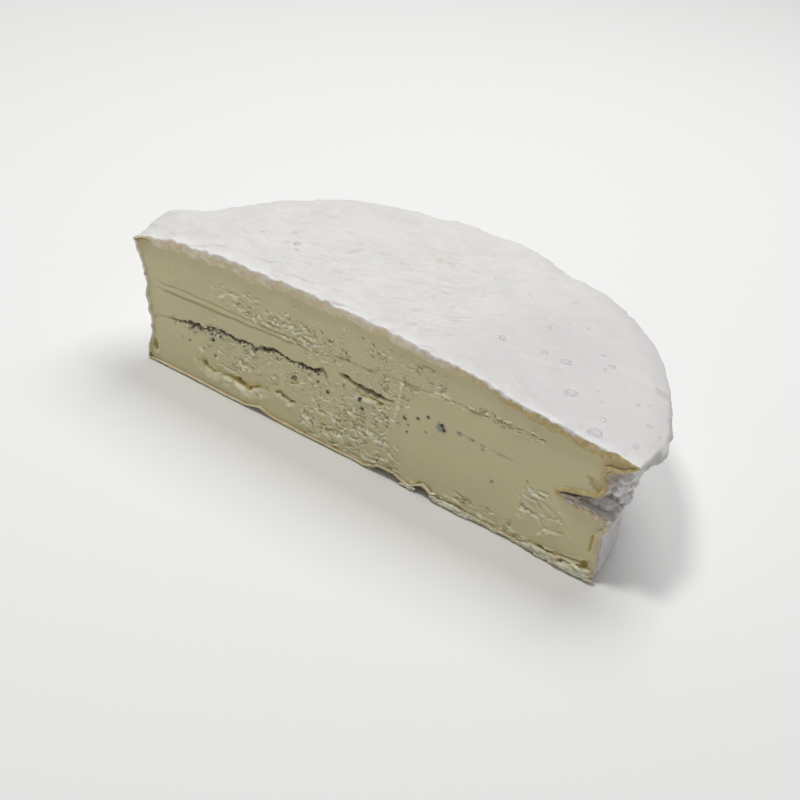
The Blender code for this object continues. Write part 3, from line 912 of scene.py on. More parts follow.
        e = smooth(a / 0.12) * smooth((1 - a) / 0.12)
        e = np.where((a <= 0) | (a >= 1), 0, e)
        up = smooth(s / 0.20 + 0.35) * np.exp(-(np.maximum(s, 0) / reach)
                                              ** 1.3)
        near = d < 4 * reach
        rough_ = 0.72 + 0.55 * noise(X / 1.6, Z / 1.1, seed=250 + k) \
            + 0.22 * noise(X / 0.5, Z / 0.4, seed=255 + k)
        rough_ = np.clip(rough_, 0.12, 1.4)
        D += depth * up * e * near * rough_
        # ochre painted shade in the torn-out hollow above the line
        ochre_stain_and_painted_shade += hollow_shade * e * near * up * np.exp(-np.maximum(s, 0) / (0.55
                                                                  * reach))
        ww = (0.35 + 0.42 * reach) * (2.1 if k == 0 else 1.0)
        k1 = np.clip(0.85 + 0.75 * noise(X / 1.3, Z / 0.9, seed=230 + k)
                     + 0.30 * noise(X / 0.45, Z / 0.4, seed=235 + k), 0, 2)
        lipf = np.where(s > -0.28, np.exp(-((s + 0.28) / 0.24) ** 2),
                        np.exp(-((s + 0.28) / (0.9 * ww)) ** 2)) * e
        D -= 0.95 * lp * lipf * k1
        # painted highlight along the scoop's lip
        pale_and_painted_highlight += (0.55 if k == 0 else 0.80) * lipf * k1

    # deep pit at the lower -X corner: ochre painted shade, painted rim
    # highlight
    r = np.hypot((X + 58.1 + 0.25 * (Z - 4)) / 0.75, (Z - 4.2) / 1.45)
    f = smooth((1.15 - r + 0.15 * n2) / 0.35)
    D += 0.85 * f
    ochre_stain_and_painted_shade += 1.4 * f
    ring = np.exp(-((r - 1.45) / 0.25) ** 2) * (Z < 4.2)
    D -= 0.15 * ring
    pale_and_painted_highlight += 0.5 * ring

    # crease that runs on from the truffle line to the -X end
    groove([(-60, 9.6), (-57.5, 12.4), (-55.5, 12.9), (-53, 13.4)], 0.30,
           0.30, 0.1, 0.2, 5)
    # vertical ridge where the knife turned, x about 10
    xr_ = 9.9 + 0.5 * noise(Z / 1.6, 0.5, seed=260) \
        + 0.25 * noise(Z / 0.5, 1.5, seed=261)
    wz = smooth((Z - 12.5) / 3) * smooth((25.5 - Z) / 2.5)
    D += -0.36 * np.exp(-((X - xr_) / 0.55) ** 2) * wz
    D += 0.30 * smooth((xr_ - X) / 0.8) * np.exp(-np.maximum(xr_ - X, 0)
                                                 / 7.0) * wz
    # painted highlight along the ridge
    pale_and_painted_highlight += 0.55 * np.exp(-((X - xr_ + 0.2) / 0.6) ** 2) * wz \
        * smooth(0.5 + n1)
    # rough crumb left of it
    m = box_mask(X, Z, -8, 10, 1.0, 18.5, 5, 2)
    D += 0.09 * m * fbm(X / 1.2, Z / 0.8, seed=262, octaves=3)
    m = box_mask(X, Z, -44, -6, 4.0, 16.0, 5, 2)
    D += 0.07 * m * fbm(X / 0.9, Z / 0.6, seed=263, octaves=3)
    D += 0.05 * smooth(M / 0.5) * fbm(X / 0.60, Z / 0.46, seed=265,
                                      octaves=2)
    m = box_mask(X, Z, -43, 8, 22.5, 29, 5, 2)
    D += 0.05 * m * fbm(X / 0.8, Z / 0.5, seed=264, octaves=3)

    # ---- truffle line: a torn slot with the truffle in it
    for pts, hw, dp, sd in ((TRUFFLE_LINE, 0.42, 0.62, 1),
                            (CRACK, 0.48, 1.10, 2)):
        jz = 0.30 * noise(X / 1.3, 1.2, seed=270 + sd) \
            + 0.16 * noise(X / 0.45, 4.2, seed=272 + sd)
        d, s, a = polyline(X, Z + jz, pts)
        e = np.where((a <= 0) | (a >= 1), 0,
                     smooth(a / 0.05) * smooth((1 - a) / 0.05))
        hw_ = hw * (0.8 + 0.5 * noise(X / 2.2, 6.0, seed=274 + sd))
        if sd == 2:
            hw_ = hw_ * (0.12 + 0.95 * np.sin(np.pi * np.clip(
                0.08 + 0.92 * a, 0, 1)) ** 0.8)
        f = smooth((hw_ + 0.18 - d) / 0.30) * e
        D += dp * f
        soft = np.exp(-(d / (0.75 + 0.3 * n1)) ** 2) * e
        heavy = smooth(0.62 + 1.1 * noise(X / 2.4, 2.0, seed=276 + sd))
        dark = np.maximum(dark, (0.16 + 0.30 * heavy) * f * (
            0.6 + 0.2 * (sd == 2)))
        brown = np.maximum(brown, (0.42 + 0.30 * (sd == 2)) * f
                           * (1 - 0.6 * heavy))
        blue = np.maximum(blue, 0.50 * soft * smooth(0.6 + n3))
        lipf = np.exp(-((s + hw_ + 0.42) / 0.30) ** 2) * e
        D -= 0.14 * lipf * smooth(0.3 + n1)
        # painted highlight on the lip below the slot
        pale_and_painted_highlight += 0.5 * lipf * smooth(0.2 + n1)
    # faint line further on
    d, s, a = polyline(X, Z + 0.1 * n1, [(22.5, 19.0), (27, 19.1), (30, 18.8),
                                         (38, 18.7), (44, 18.4)])
    e = np.where((a <= 0) | (a >= 1), 0, smooth(a / 0.1)
                 * smooth((1 - a) / 0.5))
    blue += (0.42 + 0.40 * noise(X / 1.4, 2.0, seed=279)) \
        * np.exp(-(d / (0.36 + 0.14 * n1)) ** 2) * e
    D += 0.10 * np.exp(-(d / 0.25) ** 2) * e
    # smudge of truffle dust under the line
    m = box_mask(X, Z, -54, -6, 12.2, 17.6, 5, 3)
    blue += 0.16 * m * smooth(0.3 + n3)
    m = box_mask(X, Z, -9, 40, 13, 20, 6, 3)
    blue += 0.10 * m * smooth(0.1 + n3)

    for k, (sx, sz, r, dk, kind) in enumerate(SPECKS):
        q = np.hypot(X - sx, Z - sz)
        near = q < 4 * r
        w = 1 + 0.35 * noise(X / 0.5, Z / 0.5, seed=300 + k)
        f = smooth((0.92 * r * w - q) / (0.5 * r) + 0.5) * near
        halo = np.exp(-(q / (1.7 * r)) ** 2) * near
        if kind == 0:
            dark = np.maximum(dark, 0.78 * dk * f)
            blue += 0.55 * halo
        elif kind == 1:
            brown = np.maximum(brown, 0.8 * dk * f)
            blue += 0.20 * halo
        elif kind == 2:
            blue = blue + dk * (0.8 * f + 0.3 * halo)
        else:
            brown = np.maximum(brown, dk * f)
            ochre_stain_and_painted_shade += 0.4 * halo
        D += 0.10 * f * dk

    # ---- near the rind: translucent paste with ochre painted shade in its
    # recesses; crumbly lower +X edge
    D += 0.45 * box_mask(X, Z, 38, 60, -1, 2.3, 4, 1.2) * smooth(
        0.4 + fbm(X / 1.2, Z / 0.7, seed=281, octaves=2))
    d, s, a = polyline(X, Z + 0.15 * n1,
                       [(22, 1.5), (30, 1.7), (43.3, 1.9), (46, 2.2),
                        (49.4, 2.1), (51.1, 2.4), (54.5, 2.9), (57.2, 3.4),
                        (58.7, 4.1)])
    D += 0.35 * np.exp(-((s + 0.3) / 0.35) ** 2) * smooth((X - 20) / 4)
    lipf = np.exp(-((s - 0.05) / 0.2) ** 2) * smooth((X - 30) / 6)
    D -= 0.25 * lipf
    pale_and_painted_highlight += 0.45 * lipf
    # crumbly lower +X edge: painted highlight on the raised streaks, ochre
    # painted shade between them
    sm = smooth((X - 13.5) / 3.0) * smooth((2.7 - Z + 0.35 * n3) / 0.7)
    streak = ridged(X / 3.2, Z / 0.42, seed=283, octaves=3)
    D -= sm * (0.16 + 0.22 * streak + 0.10 * n4)
    pale_and_painted_highlight += 0.75 * sm * smooth((streak + 0.1) / 0.8)
    ochre_stain_and_painted_shade += 0.22 * sm * smooth((0.0 - streak) / 0.7)
    # pit by the lower +X rind, painted ochre as shade
    r = np.hypot((X - 58.2) / 0.9, (Z - 2.7) / 1.0)
    f = smooth((1.1 - r) / 0.5)
    D += 0.7 * f
    ochre_stain_and_painted_shade += 0.8 * f
    J = [(54.2, 23.6), (55.0, 22.4), (55.6, 21.8), (56.3, 21.2),
         (57.0, 20.6), (57.2, 19.4)]
    jx = 0.45 * noise(Z / 0.9, X / 1.2, seed=285) \
        + 0.2 * noise(Z / 0.4, X / 0.5, seed=287)
    d, s, a = polyline(X + jx, Z, J)
    e = np.where((a <= 0) | (a >= 1), 0, smooth(a / 0.2))
    # s > 0 is towards the rind
    rec = smooth((24.6 - Z + 0.9 * noise(X / 1.2, 3.0, seed=286)) / 1.2) \
        * smooth((Z - 18.6) / 0.8) * (X > 53.5) * (d < 6)
    D += 0.62 * smooth(s / 0.35 + 0.3) * rec * (0.8 + 0.5 * n3)
    # ochre painted shade in the recess
    ochre_stain_and_painted_shade += 0.62 * smooth(s / 0.3) * rec * (0.8 + 0.4 * n1)
    lipf = np.exp(-((s + 0.25) / 0.28) ** 2) * e
    rag = smooth(0.35 + 1.2 * noise(Z / 0.55, X / 0.7, seed=288))
    D -= 0.26 * lipf * rag
    # painted highlight on the ragged lip
    pale_and_painted_highlight += 0.65 * lipf * rag
    D -= 0.16 * np.exp(-((s + 0.9) / 0.8) ** 2) * e
    J2 = [(56.9, 23.4), (57.8, 24.6), (58.6, 25.6), (59.6, 26.6)]
    d, s, a = polyline(X + jx, Z, J2)
    lipf = np.exp(-((s - 0.1) / 0.28) ** 2) * np.where((a <= 0) | (a >= 1),
                                                     0, 1)
    D -= 0.30 * lipf * rag
    pale_and_painted_highlight += 0.75 * lipf * rag
    # upright slit by the lower +X rind, painted ochre as shade
    d, s, a = polyline(X, Z, [(58.6, 10.3), (58.6, 8.7), (58.6, 6.6)])
    f = np.exp(-(d / 0.33) ** 2)
    D += 0.55 * f
    ochre_stain_and_painted_shade += 0.8 * f
    return D, ochre_stain_and_painted_shade, pale_and_painted_highlight, dark, brown, blue


def edge_distance(X, Z):
    """Distance (mm) from the rind, for the warm zone beside it, partly a
    painted shadow line.
    """
    xr = np.interp(Z, ZR, XR_)
    xl = np.interp(Z, ZL, XL_)
    return np.minimum.reduce([xr - X, X - xl, z_roof(X) - Z,
                              Z - z_floor(X)])


def paste_mesh():
    X, Z = paste_grid()
    D, ochre_stain_and_painted_shade, pale_and_painted_highlight, dark, brown, blue = paste_relief(X, Z)
    ed = edge_distance(X, Z)
    D = np.clip(D, -0.55, 2.4)
    Y = 0.12 + D
    Y = np.maximum(Y, -0.34)
    # meet the rind from behind
    rim = smooth((0.9 - ed) / 0.9)
    Y = Y * (1 - rim) + np.maximum(Y, 0.12) * rim
    # darker tan by the rind: warmer paste there, partly a painted shadow line
    # under the proud rind band
    tan = np.exp(-np.maximum(ed, 0) / 0.9) * 0.6
    # the thin lip at the +X end is nearly all rind
    tan += 0.75 * smooth((X - 54.5 + 0.8 * (Z - 29)) / 5.0) * smooth(
        (Z - 23.5) / 3.0)
    tan += 0.5 * smooth((-X - 60.5) / 3.0) * smooth((Z - 26) / 2)
    V = np.stack([X, Y, Z], -1)
    nu, nv = V.shape[:2]
    idx = np.arange(nu * nv).reshape(nu, nv)
    a, b, c, d = idx[:-1, :-1], idx[1:, :-1], idx[1:, 1:], idx[:-1, 1:]
    faces = [tuple(f) for f in np.stack([a, b, c, d], -1).reshape(-1,
                                                                  4).tolist()]
    # boundary, from the middle of the top clockwise
    h = (nu - 1) // 2
    right = ([idx[i, -1] for i in range(h, nu)]
             + [idx[-1, k] for k in range(nv - 2, -1, -1)]
             + [idx[i, 0] for i in range(nu - 2, h - 1, -1)])
    left = ([idx[i, -1] for i in range(h, -1, -1)]
            + [idx[0, k] for k in range(nv - 2, -1, -1)]
            + [idx[i, 0] for i in range(1, h + 1)])
    flat = V.reshape(-1, 3)
    K = len(right)
    step = 12
    marks = list(range(0, K - 1, step)) + [K - 1]
    extra, n = [], len(flat)
    cols = 24
    skin = {}
    for j in range(1, cols):
        th = math.pi * j / cols
        w = float(smooth(th / math.pi))
        for m in marks[1:-1]:
            R, L = flat[right[m]], flat[left[m]]
            r = (1 - w) * abs(R[0]) + w * abs(L[0])
            z = (1 - w) * R[2] + w * L[2]
            r = r * (1 - 0.02 * math.sin(th))
            jn = int(np.argmin(np.abs(ANGLES - math.degrees(th))))
            wall = BASE[max(0, jn - 7):jn + 8, seg_start[2]:seg_start[15]]
            rw = np.hypot(wall[..., 0], wall[..., 1])
            hit = np.abs(wall[..., 2] - z) < 2.6
            if hit.any():
                r = min(r, float(rw[hit].min()) - 2.3)
            z = min(z, float(top_height(r * math.cos(th),
                                        r * math.sin(th))) - 0.7)
            z = max(z, 1.7)
            extra.append((r * math.cos(th), max(r * math.sin(th), 1.6), z))
            skin[j, m] = n + len(extra) - 1
    for j in range(1, cols - 1):
        for m0, m1 in zip(marks, marks[1:]):
            f = []
            for jj, mm in ((j, m0), (j, m1), (j + 1, m1), (j + 1, m0)):
                v = right[m0] if mm == marks[0] else (
                    right[m1] if mm == marks[-1] else skin[jj, mm])
                if v not in f:
                    f.append(v)
            if len(f) > 2:
                faces.append(tuple(int(q) for q in f))
    for line, j in ((right, 1), (left, cols - 1)):
        for m0, m1 in zip(marks, marks[1:]):
            f = [int(line[m]) for m in range(m0, m1 + 1)]
            f += [skin[j, m] for m in (m1, m0) if marks[0] < m < marks[-1]]
            faces.append(tuple(f))
    allv = np.concatenate([flat, np.array(extra)])
    pad = np.zeros(len(extra))
    masks = {}
    for key, val in (("ochre_stain_and_painted_shade", ochre_stain_and_painted_shade), ("pale_and_painted_highlight", pale_and_painted_highlight), ("dark", dark),
                     ("brown", brown), ("blue", blue), ("tan", tan)):
        masks[key] = np.concatenate([np.clip(val, 0, 1).ravel(), pad])
    masks["depth"] = np.concatenate([np.clip(D / 1.5, -1, 1).ravel(), pad])
    return allv, faces, masks


# ------------------------------------------------------- small round things
ICO = bmesh.new()
bmesh.ops.create_icosphere(ICO, subdivisions=2, radius=1.0)
ICO_V = np.array([v.co[:] for v in ICO.verts])
ICO_F = [tuple(v.index for v in f.verts) for f in ICO.faces]
ICO.free()


def blobs(items):
    """Joined closed lumps: centre, (rx, ry, rz), turn, roughness, seed and
    a tone from 0 to 1."""
    verts, faces, tones, n = [], [], [], 0
    u, fs = ICO_V, ICO_F
    for c, rad, turn, rough, seed, tone in items:
        k = 1 + rough * noise(u[:, 0] * 1.6 + seed, u[:, 1] * 1.6,
                              u[:, 2] * 1.6, seed=int(seed) % 977)
        p = u * k[:, None] * np.array(rad)
        ca, sa = math.cos(turn), math.sin(turn)
        p = np.stack([p[:, 0] * ca - p[:, 2] * sa, p[:, 1],
                      p[:, 0] * sa + p[:, 2] * ca], 1)
        verts.append(p + np.array(c))
        tones.append(np.full(len(u), tone))
        faces += [tuple(i + n for i in f) for f in fs]
        n += len(u)
    return np.concatenate(verts), faces, np.concatenate(tones)


def line_z(pts, x):
    pts = np.array(pts)
    return float(np.interp(x, pts[:, 0], pts[:, 1]))


def truffle_items():
    rng = np.random.RandomState(11)
    items = []

    def add(x, z, s, y, tone):
        items.append(((x, y, z), (s * (0.9 + 0.9 * rng.rand()), 0.7 * s,
                                  s * (0.55 + 0.35 * rng.rand())),
                      0.6 * rng.randn(), 0.55, rng.randint(1, 900), tone))

    x = -54.2
    while x < -8.4:
        z = line_z(TRUFFLE_LINE, x)
        heavy = (gauss(x, -49.5, 3.5) + gauss(x, -37, 3.5)
                 + 0.8 * gauss(x, -31.5, 1.6) + 0.5 * gauss(x, -24, 4)
                 + 0.8 * gauss(x, -14, 2.5))
        gap = noise(x / 1.1, 0.7, seed=400)
        if gap > 0.05 - 0.8 * heavy:
            s = 0.13 + 0.13 * rng.rand() + 0.13 * heavy
            tone = rng.rand() if x < -36 else 0.65 * rng.rand()
            add(x, z + 0.12 * rng.randn(), s, 0.42 + 0.25 * rng.rand(), tone)
        if rng.rand() < 0.30:                       # scattered below
            add(x + 0.3 * rng.randn(), z - 0.25 - 1.3 * rng.rand() ** 1.6,
                0.09 + 0.13 * rng.rand(), 0.16 + 0.1 * rng.rand(), rng.rand())
        x += 0.16 + 0.20 * rng.rand()
    for _ in range(120):                        # crumbled spread, -X end
        gx = -48.5 + 12.5 * rng.rand() ** 0.9
        gz = line_z(TRUFFLE_LINE, gx) + 0.35 - 2.2 * rng.rand() ** 1.3
        add(gx, gz, 0.12 + 0.24 * rng.rand(), 0.08 + 0.15 * rng.rand(),
            0.15 + 0.85 * rng.rand())
    for _ in range(60):
        gx = -36 + 27 * rng.rand()
        gz = line_z(TRUFFLE_LINE, gx) - 0.1 - 1.0 * rng.rand() ** 1.4
        add(gx, gz, 0.10 + 0.15 * rng.rand(), 0.12 + 0.15 * rng.rand(),
            rng.rand())
    x = -5.8
    while x < 8.6:
        z = line_z(CRACK, x)
        s = (0.14 + 0.14 * rng.rand()) * (0.4 + 0.6 * math.sin(
            math.pi * min(1.0, max(0.0, (x + 6.3) / 15.2))))
        add(x, z + 0.08 + 0.1 * rng.randn(), s, 1.0 + 0.4 * rng.rand(),
            0.18 + 0.42 * rng.rand())
        x += 0.30 + 0.2 * rng.rand()
    for k, (sx, sz, r, dk, kind) in enumerate(SPECKS):
        if kind in (0, 1) and dk > 0.55:
            n = 2 + int(5 * r)
            for _ in range(n):
                add(sx + 0.5 * r * rng.randn(), sz + 0.40 * r * rng.randn(),
                    0.24 * r + 0.08 * rng.rand(), 0.20,
                    0.25 * rng.rand() if kind == 0 else 0.5 + 0.3
                    * rng.rand())
    # a few stray grains
    for _ in range(26):
        gx = -48 + 60 * rng.rand()
        gz = line_z(TRUFFLE_LINE + CRACK, gx) - 1.0 - 4.5 * rng.rand()
        add(gx, gz, 0.08 + 0.08 * rng.rand(), 0.14, rng.rand())
    return items


LAYER_LINE = [(-58.0, 11.6), (-50.0, 14.0), (-40.0, 15.8), (-30.0, 16.4),
              (-16.0, 17.3), (-4.0, 19.2), (9.0, 19.3), (24.0, 18.8),
              (44.0, 18.6)]


def layer_sheet():
    """The truffle spread inside the paste: a thin uneven sheet."""
    rings, spokes = 26, 72
    lx = np.array(LAYER_LINE)

    def height(x, y):
        calm = 0.6 * smooth(y / 40.0)
        return ((1 - calm) * np.interp(x, lx[:, 0], lx[:, 1]) + calm * 17.2
                + 0.35 * np.sin(0.33 * x + 0.21 * y) * smooth(y / 8.0))

    a = np.pi * np.arange(spokes + 1) / spokes
    k = np.arange(rings + 1) / rings
    A, Kk = np.meshgrid(a, k, indexing="ij")
    wob = 1 + 0.018 * np.sin(5 * A + 0.6) + 0.01 * np.sin(11 * A) \
        + 0.012 * noise(A * 9, 0.5, seed=420)
    r = LAYER_R * wob * Kk
    x = LAYER_X + r * np.cos(A)
    y = 1.1 + np.maximum(r * np.sin(A), 0) * 0.975
    z = height(x, y)
    t = (0.30 + 0.18 * fbm(x / 3, y / 3, seed=421, octaves=3)) \
        * (1 - 0.6 * Kk ** 3)
    t = np.clip(t, 0.08, 0.6)
    top = np.stack([x, y, z + t], -1)
    bot = np.stack([x, y, z - t], -1)
    nt = (spokes + 1) * (rings + 1)
    idt = np.arange(nt).reshape(spokes + 1, rings + 1)
    idt[:, 0] = idt[0, 0]
    idb = idt + nt
    faces = []
    for j in range(spokes):
        for i in range(rings):
            for g, flip in ((idt, False), (idb, True)):
                f = [g[j, i], g[j, i + 1], g[j + 1, i + 1], g[j + 1, i]]
                q = []
                for v in f:
                    if int(v) not in q:
                        q.append(int(v))
                faces.append(tuple(q[::-1] if flip else q))
        faces.append((int(idt[j, -1]), int(idb[j, -1]), int(idb[j + 1, -1]),
                      int(idt[j + 1, -1])))
    line = [int(idt[-1, i]) for i in range(rings, 0, -1)] + \
           [int(idt[0, i]) for i in range(0, rings + 1)]
    for p, q in zip(line, line[1:]):
        faces.append((p, q, q + nt, p + nt))
    V = np.concatenate([top.reshape(-1, 3), bot.reshape(-1, 3)])
    used = sorted({i for f in faces for i in f})
    remap = {o: i for i, o in enumerate(used)}
    return V[used], [tuple(remap[i] for i in f) for f in faces]


# drops of moisture on the rind: x, y, radius
DROPS = [(42.5, 12.2, 1.35), (52.7, 3.3, 1.55), (51.7, 8.7, 0.85),
         (60.7, 5.4, 0.85), (22.4, 17.7, 0.95), (27.0, 30.8, 0.55),
         (24.4, 33.7, 0.4), (44.0, 28.4, 0.85), (43.4, 26.1, 0.55),
         (59.8, 13.7, 0.75), (63.0, 12.3, 0.5), (54.7, 19.2, 0.55),
         (25.4, 47.1, 0.5), (36.4, 21.3, 1.2), (31.5, 20.5, 0.8),
         (56.6, 20.8, 0.4), (40.5, 31.0, 0.5), (-42.4, 17.4, 0.65),
         (-35.3, 17.3, 0.7), (-37.2, 23.2, 0.6), (-32.6, 18.0, 0.9),
         (-30.8, 15.3, 0.6), (-25.5, 33.6, 0.5), (7.0, 41.0, 0.4),
         (48.6, 14.3, 0.35), (46.0, 17.6, 0.4), (55.0, 28.0, 0.4),
         (33.0, 38.5, 0.5), (29.2, 36.5, 0.35), (47.5, 5.5, 0.3),
         (45.2, 7.4, 0.25), (57.6, 9.6, 0.3), (50.0, 22.5, 0.35)]


def surface_z(x, y):
    """Height of the finished rind top at a point, nearest grid vertex."""
    P = OUT[:, :NTOP + 24]
    d = (P[..., 0] - x) ** 2 + (P[..., 1] - y) ** 2
    k = np.unravel_index(np.argsort(d, axis=None)[:6], d.shape)
    return float(P[k][:, 2].mean())


def drops_mesh():
    verts, faces, n = [], [], 0
    nr, na = 7, 22
    for k, (x, y, r) in enumerate(DROPS):
        z0 = surface_z(x, y)
        h = 0.46 * r
        ring = []
        for i in range(nr + 1):
            f = i / nr
            rr = r * math.sin(f * math.pi / 2)
            zz = h * (math.cos(f * math.pi / 2)) ** 0.8 - 0.05
            if i == nr:
                zz = -0.12
            for j in range(na if i else 1):
                a = 2 * math.pi * j / na
                w = 1 + 0.10 * math.sin(2 * a + k) + 0.05 * math.sin(3 * a
                                                                    + 2 * k)
                ring.append((x + rr * w * math.cos(a),
                             y + rr * w * math.sin(a), z0 + zz))
        bottom = len(ring)
        ring.append((x, y, z0 - 0.16))
        verts += ring
        at = lambda i, j: n + (0 if i == 0 else 1 + (i - 1) * na + j % na)
        for j in range(na):
            faces.append((at(0, 0), at(1, j), at(1, j + 1)))
            for i in range(1, nr):
                faces.append((at(i, j), at(i + 1, j), at(i + 1, j + 1),
                              at(i, j + 1)))
            faces.append((at(nr, j), n + bottom, at(nr, j + 1)))
        n += len(ring)
    return np.array(verts), faces


def crumb_items():
    """Crumbs and smears of paste along the lower edge of the cut."""
    rng = np.random.RandomState(5)
    items = []
    for x0, x1, n, s0, s1 in ((21.5, 30.0, 60, 0.35, 1.0),
                              (13.0, 16.6, 14, 0.3, 0.7),
                              (30.0, 46.0, 60, 0.2, 0.6),
                              (45.0, 60.2, 95, 0.4, 1.05),
                              (5.0, 14.0, 26, 0.2, 0.45),
                              (-16.0, 6.0, 40, 0.12, 0.32)):
        for _ in range(n):
            x = x0 + (x1 - x0) * rng.rand()
            s = s0 + (s1 - s0) * rng.rand() ** 1.6
            out = smooth((x - 43) / 8)
            z = float(chip_height(np.array(x))) + s * 0.40 \
                + (0.5 + 1.1 * out) * rng.rand() ** 1.5
            items.append(((x, -0.10 - (0.35 + 0.45 * out) * s
                           - 0.35 * out * rng.rand(), z),
                          (s * (1.0 + 1.0 * rng.rand()), 0.50 * s,
                           s * (0.35 + 0.22 * rng.rand())),
                          0.25 * rng.randn(), 0.6, rng.randint(1, 900),
                          rng.rand()))
    for x, y, z, a, b, c in ((51.5, -0.9, 1.0, 2.2, 0.5, 0.7),
                             (54.6, -1.05, 0.9, 2.6, 0.6, 0.8),
                             (57.4, -1.0, 1.1, 2.2, 0.6, 0.9),
                             (59.4, -0.7, 1.6, 1.1, 0.6, 1.0),
                             (25.4, -0.55, 0.9, 2.4, 0.45, 0.7),
                             (28.0, -0.45, 1.0, 1.6, 0.4, 0.6)):
        items.append(((x, y, z), (a, b, c), 0.05, 0.45, int(7 * x), 0.2))
    return items


FOLD_RIBS = [
    # rind pressed together in the root of the fold
    ([(49.2, -0.05, 16.5), (50.2, -0.10, 16.7), (51.6, -0.10, 16.9),
      (53.0, -0.08, 17.4), (54.4, 0.0, 17.9)], 0.42, 0.25),
    ([(49.6, -0.05, 16.3), (51.0, -0.15, 16.0), (52.4, -0.22, 15.9),
      (53.8, -0.28, 15.8), (55.4, -0.30, 15.7)], 0.46, 0.35),
    ([(51.4, 0.25, 16.5), (53.0, 0.30, 16.6), (54.6, 0.45, 16.8)],
     0.62, 0.15),
    # rolled lower lip
    ([(55.4, -0.32, 15.5), (57.0, -0.40, 15.4), (58.6, -0.42, 15.3),
      (60.2, -0.35, 15.0), (61.4, -0.2, 14.7)], 0.48, 0.55),
    ([(56.2, 0.2, 15.9), (57.6, 0.1, 16.0), (59.2, 0.1, 15.7),
      (60.8, 0.1, 15.6)], 0.40, 0.05),
]


def ribs():
    """Thin uneven rolls of torn rind following short paths."""
    verts, faces, tones, n = [], [], [], 0
    na = 10
    for q, (pts, rad, tone) in enumerate(FOLD_RIBS):
        pts = np.array(pts)
        t = np.linspace(0, len(pts) - 1, 7 * len(pts))
        line = np.stack([np.interp(t, np.arange(len(pts)), pts[:, k])
                         for k in range(3)], 1)
        for _ in range(3):
            line[1:-1] = 0.25 * line[:-2] + 0.5 * line[1:-1] + 0.25 \
                * line[2:]
        line[:, 0] += 0.12 * noise(t * 1.3, q, seed=610)
        line[:, 2] += 0.12 * noise(t * 1.3, q, seed=611)
        tan_ = np.gradient(line, axis=0)
        tan_ /= np.linalg.norm(tan_, axis=1, keepdims=True)
        side = np.cross(tan_, [0, 1, 0])
        side /= np.linalg.norm(side, axis=1, keepdims=True)
        prev = None
        e = np.sin(np.linspace(0.12, math.pi - 0.12, len(line))) ** 0.4
        for i in range(len(line)):
            ring = []
            for j in range(na):
                a = 2 * math.pi * j / na
                r = rad * e[i] * (1 + 0.30 * float(
                    noise(i * 0.55, math.cos(a) * 1.2 + q,
                          math.sin(a) * 1.2, seed=612)))
                ring.append(line[i] + side[i] * r * math.cos(a)
                            + np.array([0, 1, 0]) * 0.75 * r * math.sin(a))
            idx = list(range(n, n + na))
            verts += ring
            n += na
            if prev is None:
                faces.append(tuple(idx[::-1]))
            else:
                for j in range(na):
                    k = (j + 1) % na
                    faces.append((prev[j], prev[k], idx[k], idx[j]))
            prev = idx
        faces.append(tuple(prev))
        tones += [tone] * (na * len(line))
    return np.array(verts), faces, np.array(tones)


CRUMPLED = [
    # centre, half sizes, darkness of the painted shade
    ((53.9, 2.5, 16.8), (2.8, 1.1, 0.85), 0.30),
    ((56.8, 3.6, 16.6), (2.5, 1.5, 1.45), 0.08),
    ((59.3, 4.2, 16.2), (1.8, 1.5, 1.35), 0.0),
    ((58.3, 7.0, 18.0), (2.3, 2.1, 2.2), 0.22),
    ((60.2, 9.0, 16.3), (1.2, 2.4, 1.5), 0.10),
    ((59.7, 5.0, 21.2), (1.5, 2.0, 2.7), 0.05),
    ((61.2, 6.2, 23.2), (1.4, 2.6, 2.3), 0.0),
    ((56.9, 6.6, 18.9), (1.9, 1.8, 2.4), 0.55),
    ((61.0, 3.4, 24.6), (1.5, 2.2, 1.5), 0.0),
]


def crumpled():
    bm = bmesh.new()
    bmesh.ops.create_icosphere(bm, subdivisions=4, radius=1.0)
    u = np.array([v.co[:] for v in bm.verts])
    fs = [tuple(v.index for v in f.verts) for f in bm.faces]
    bm.free()
    verts, faces, tones, n = [], [], [], 0
    for k, (c, r, tone) in enumerate(CRUMPLED):
        p = u * np.array(r)
        q = p / 1.9 + 3.1 * k
        a = np.abs(noise(q[:, 0], q[:, 1], q[:, 2], seed=620))
        q = p / 0.85 + 5.3 * k
        b = np.abs(noise(q[:, 0], q[:, 1], q[:, 2], seed=621))
        w = 0.80 + 0.78 * a + 0.10 * b
        verts.append(np.array(c) + p * w[:, None])
        faces += [tuple(i + n for i in f) for f in fs]
        n += len(u)
        # painted shade: darker where the skin sinks in, and on lumps that lie
        # in the fold's shadow
        tones.append(np.clip(tone + 0.55 * (0.35 - a), 0, 1))
    return np.concatenate(verts), faces, np.concatenate(tones)


# ---------------------------------------------------------------- materials
def nodes_of(name):
    m = bpy.data.materials.new(name)
    m.use_nodes = True
    nt = m.node_tree
    return m, nt, nt.nodes["Principled BSDF"]


def mm_coords(nt):
    tc = nt.nodes.new("ShaderNodeTexCoord")
    sc = nt.nodes.new("ShaderNodeVectorMath")
    sc.operation = 'SCALE'
    sc.inputs["Scale"].default_value = 1000.0
    nt.links.new(tc.outputs["Object"], sc.inputs[0])
    return sc.outputs["Vector"]


def tex_noise(nt, vec, scale, detail=3.0, rough=0.5, distortion=0.0):
    t = nt.nodes.new("ShaderNodeTexNoise")
    t.inputs["Scale"].default_value = scale
    t.inputs["Detail"].default_value = detail
    t.inputs["Roughness"].default_value = rough
    t.inputs["Distortion"].default_value = distortion
    nt.links.new(vec, t.inputs["Vector"])
    return t.outputs["Fac"]


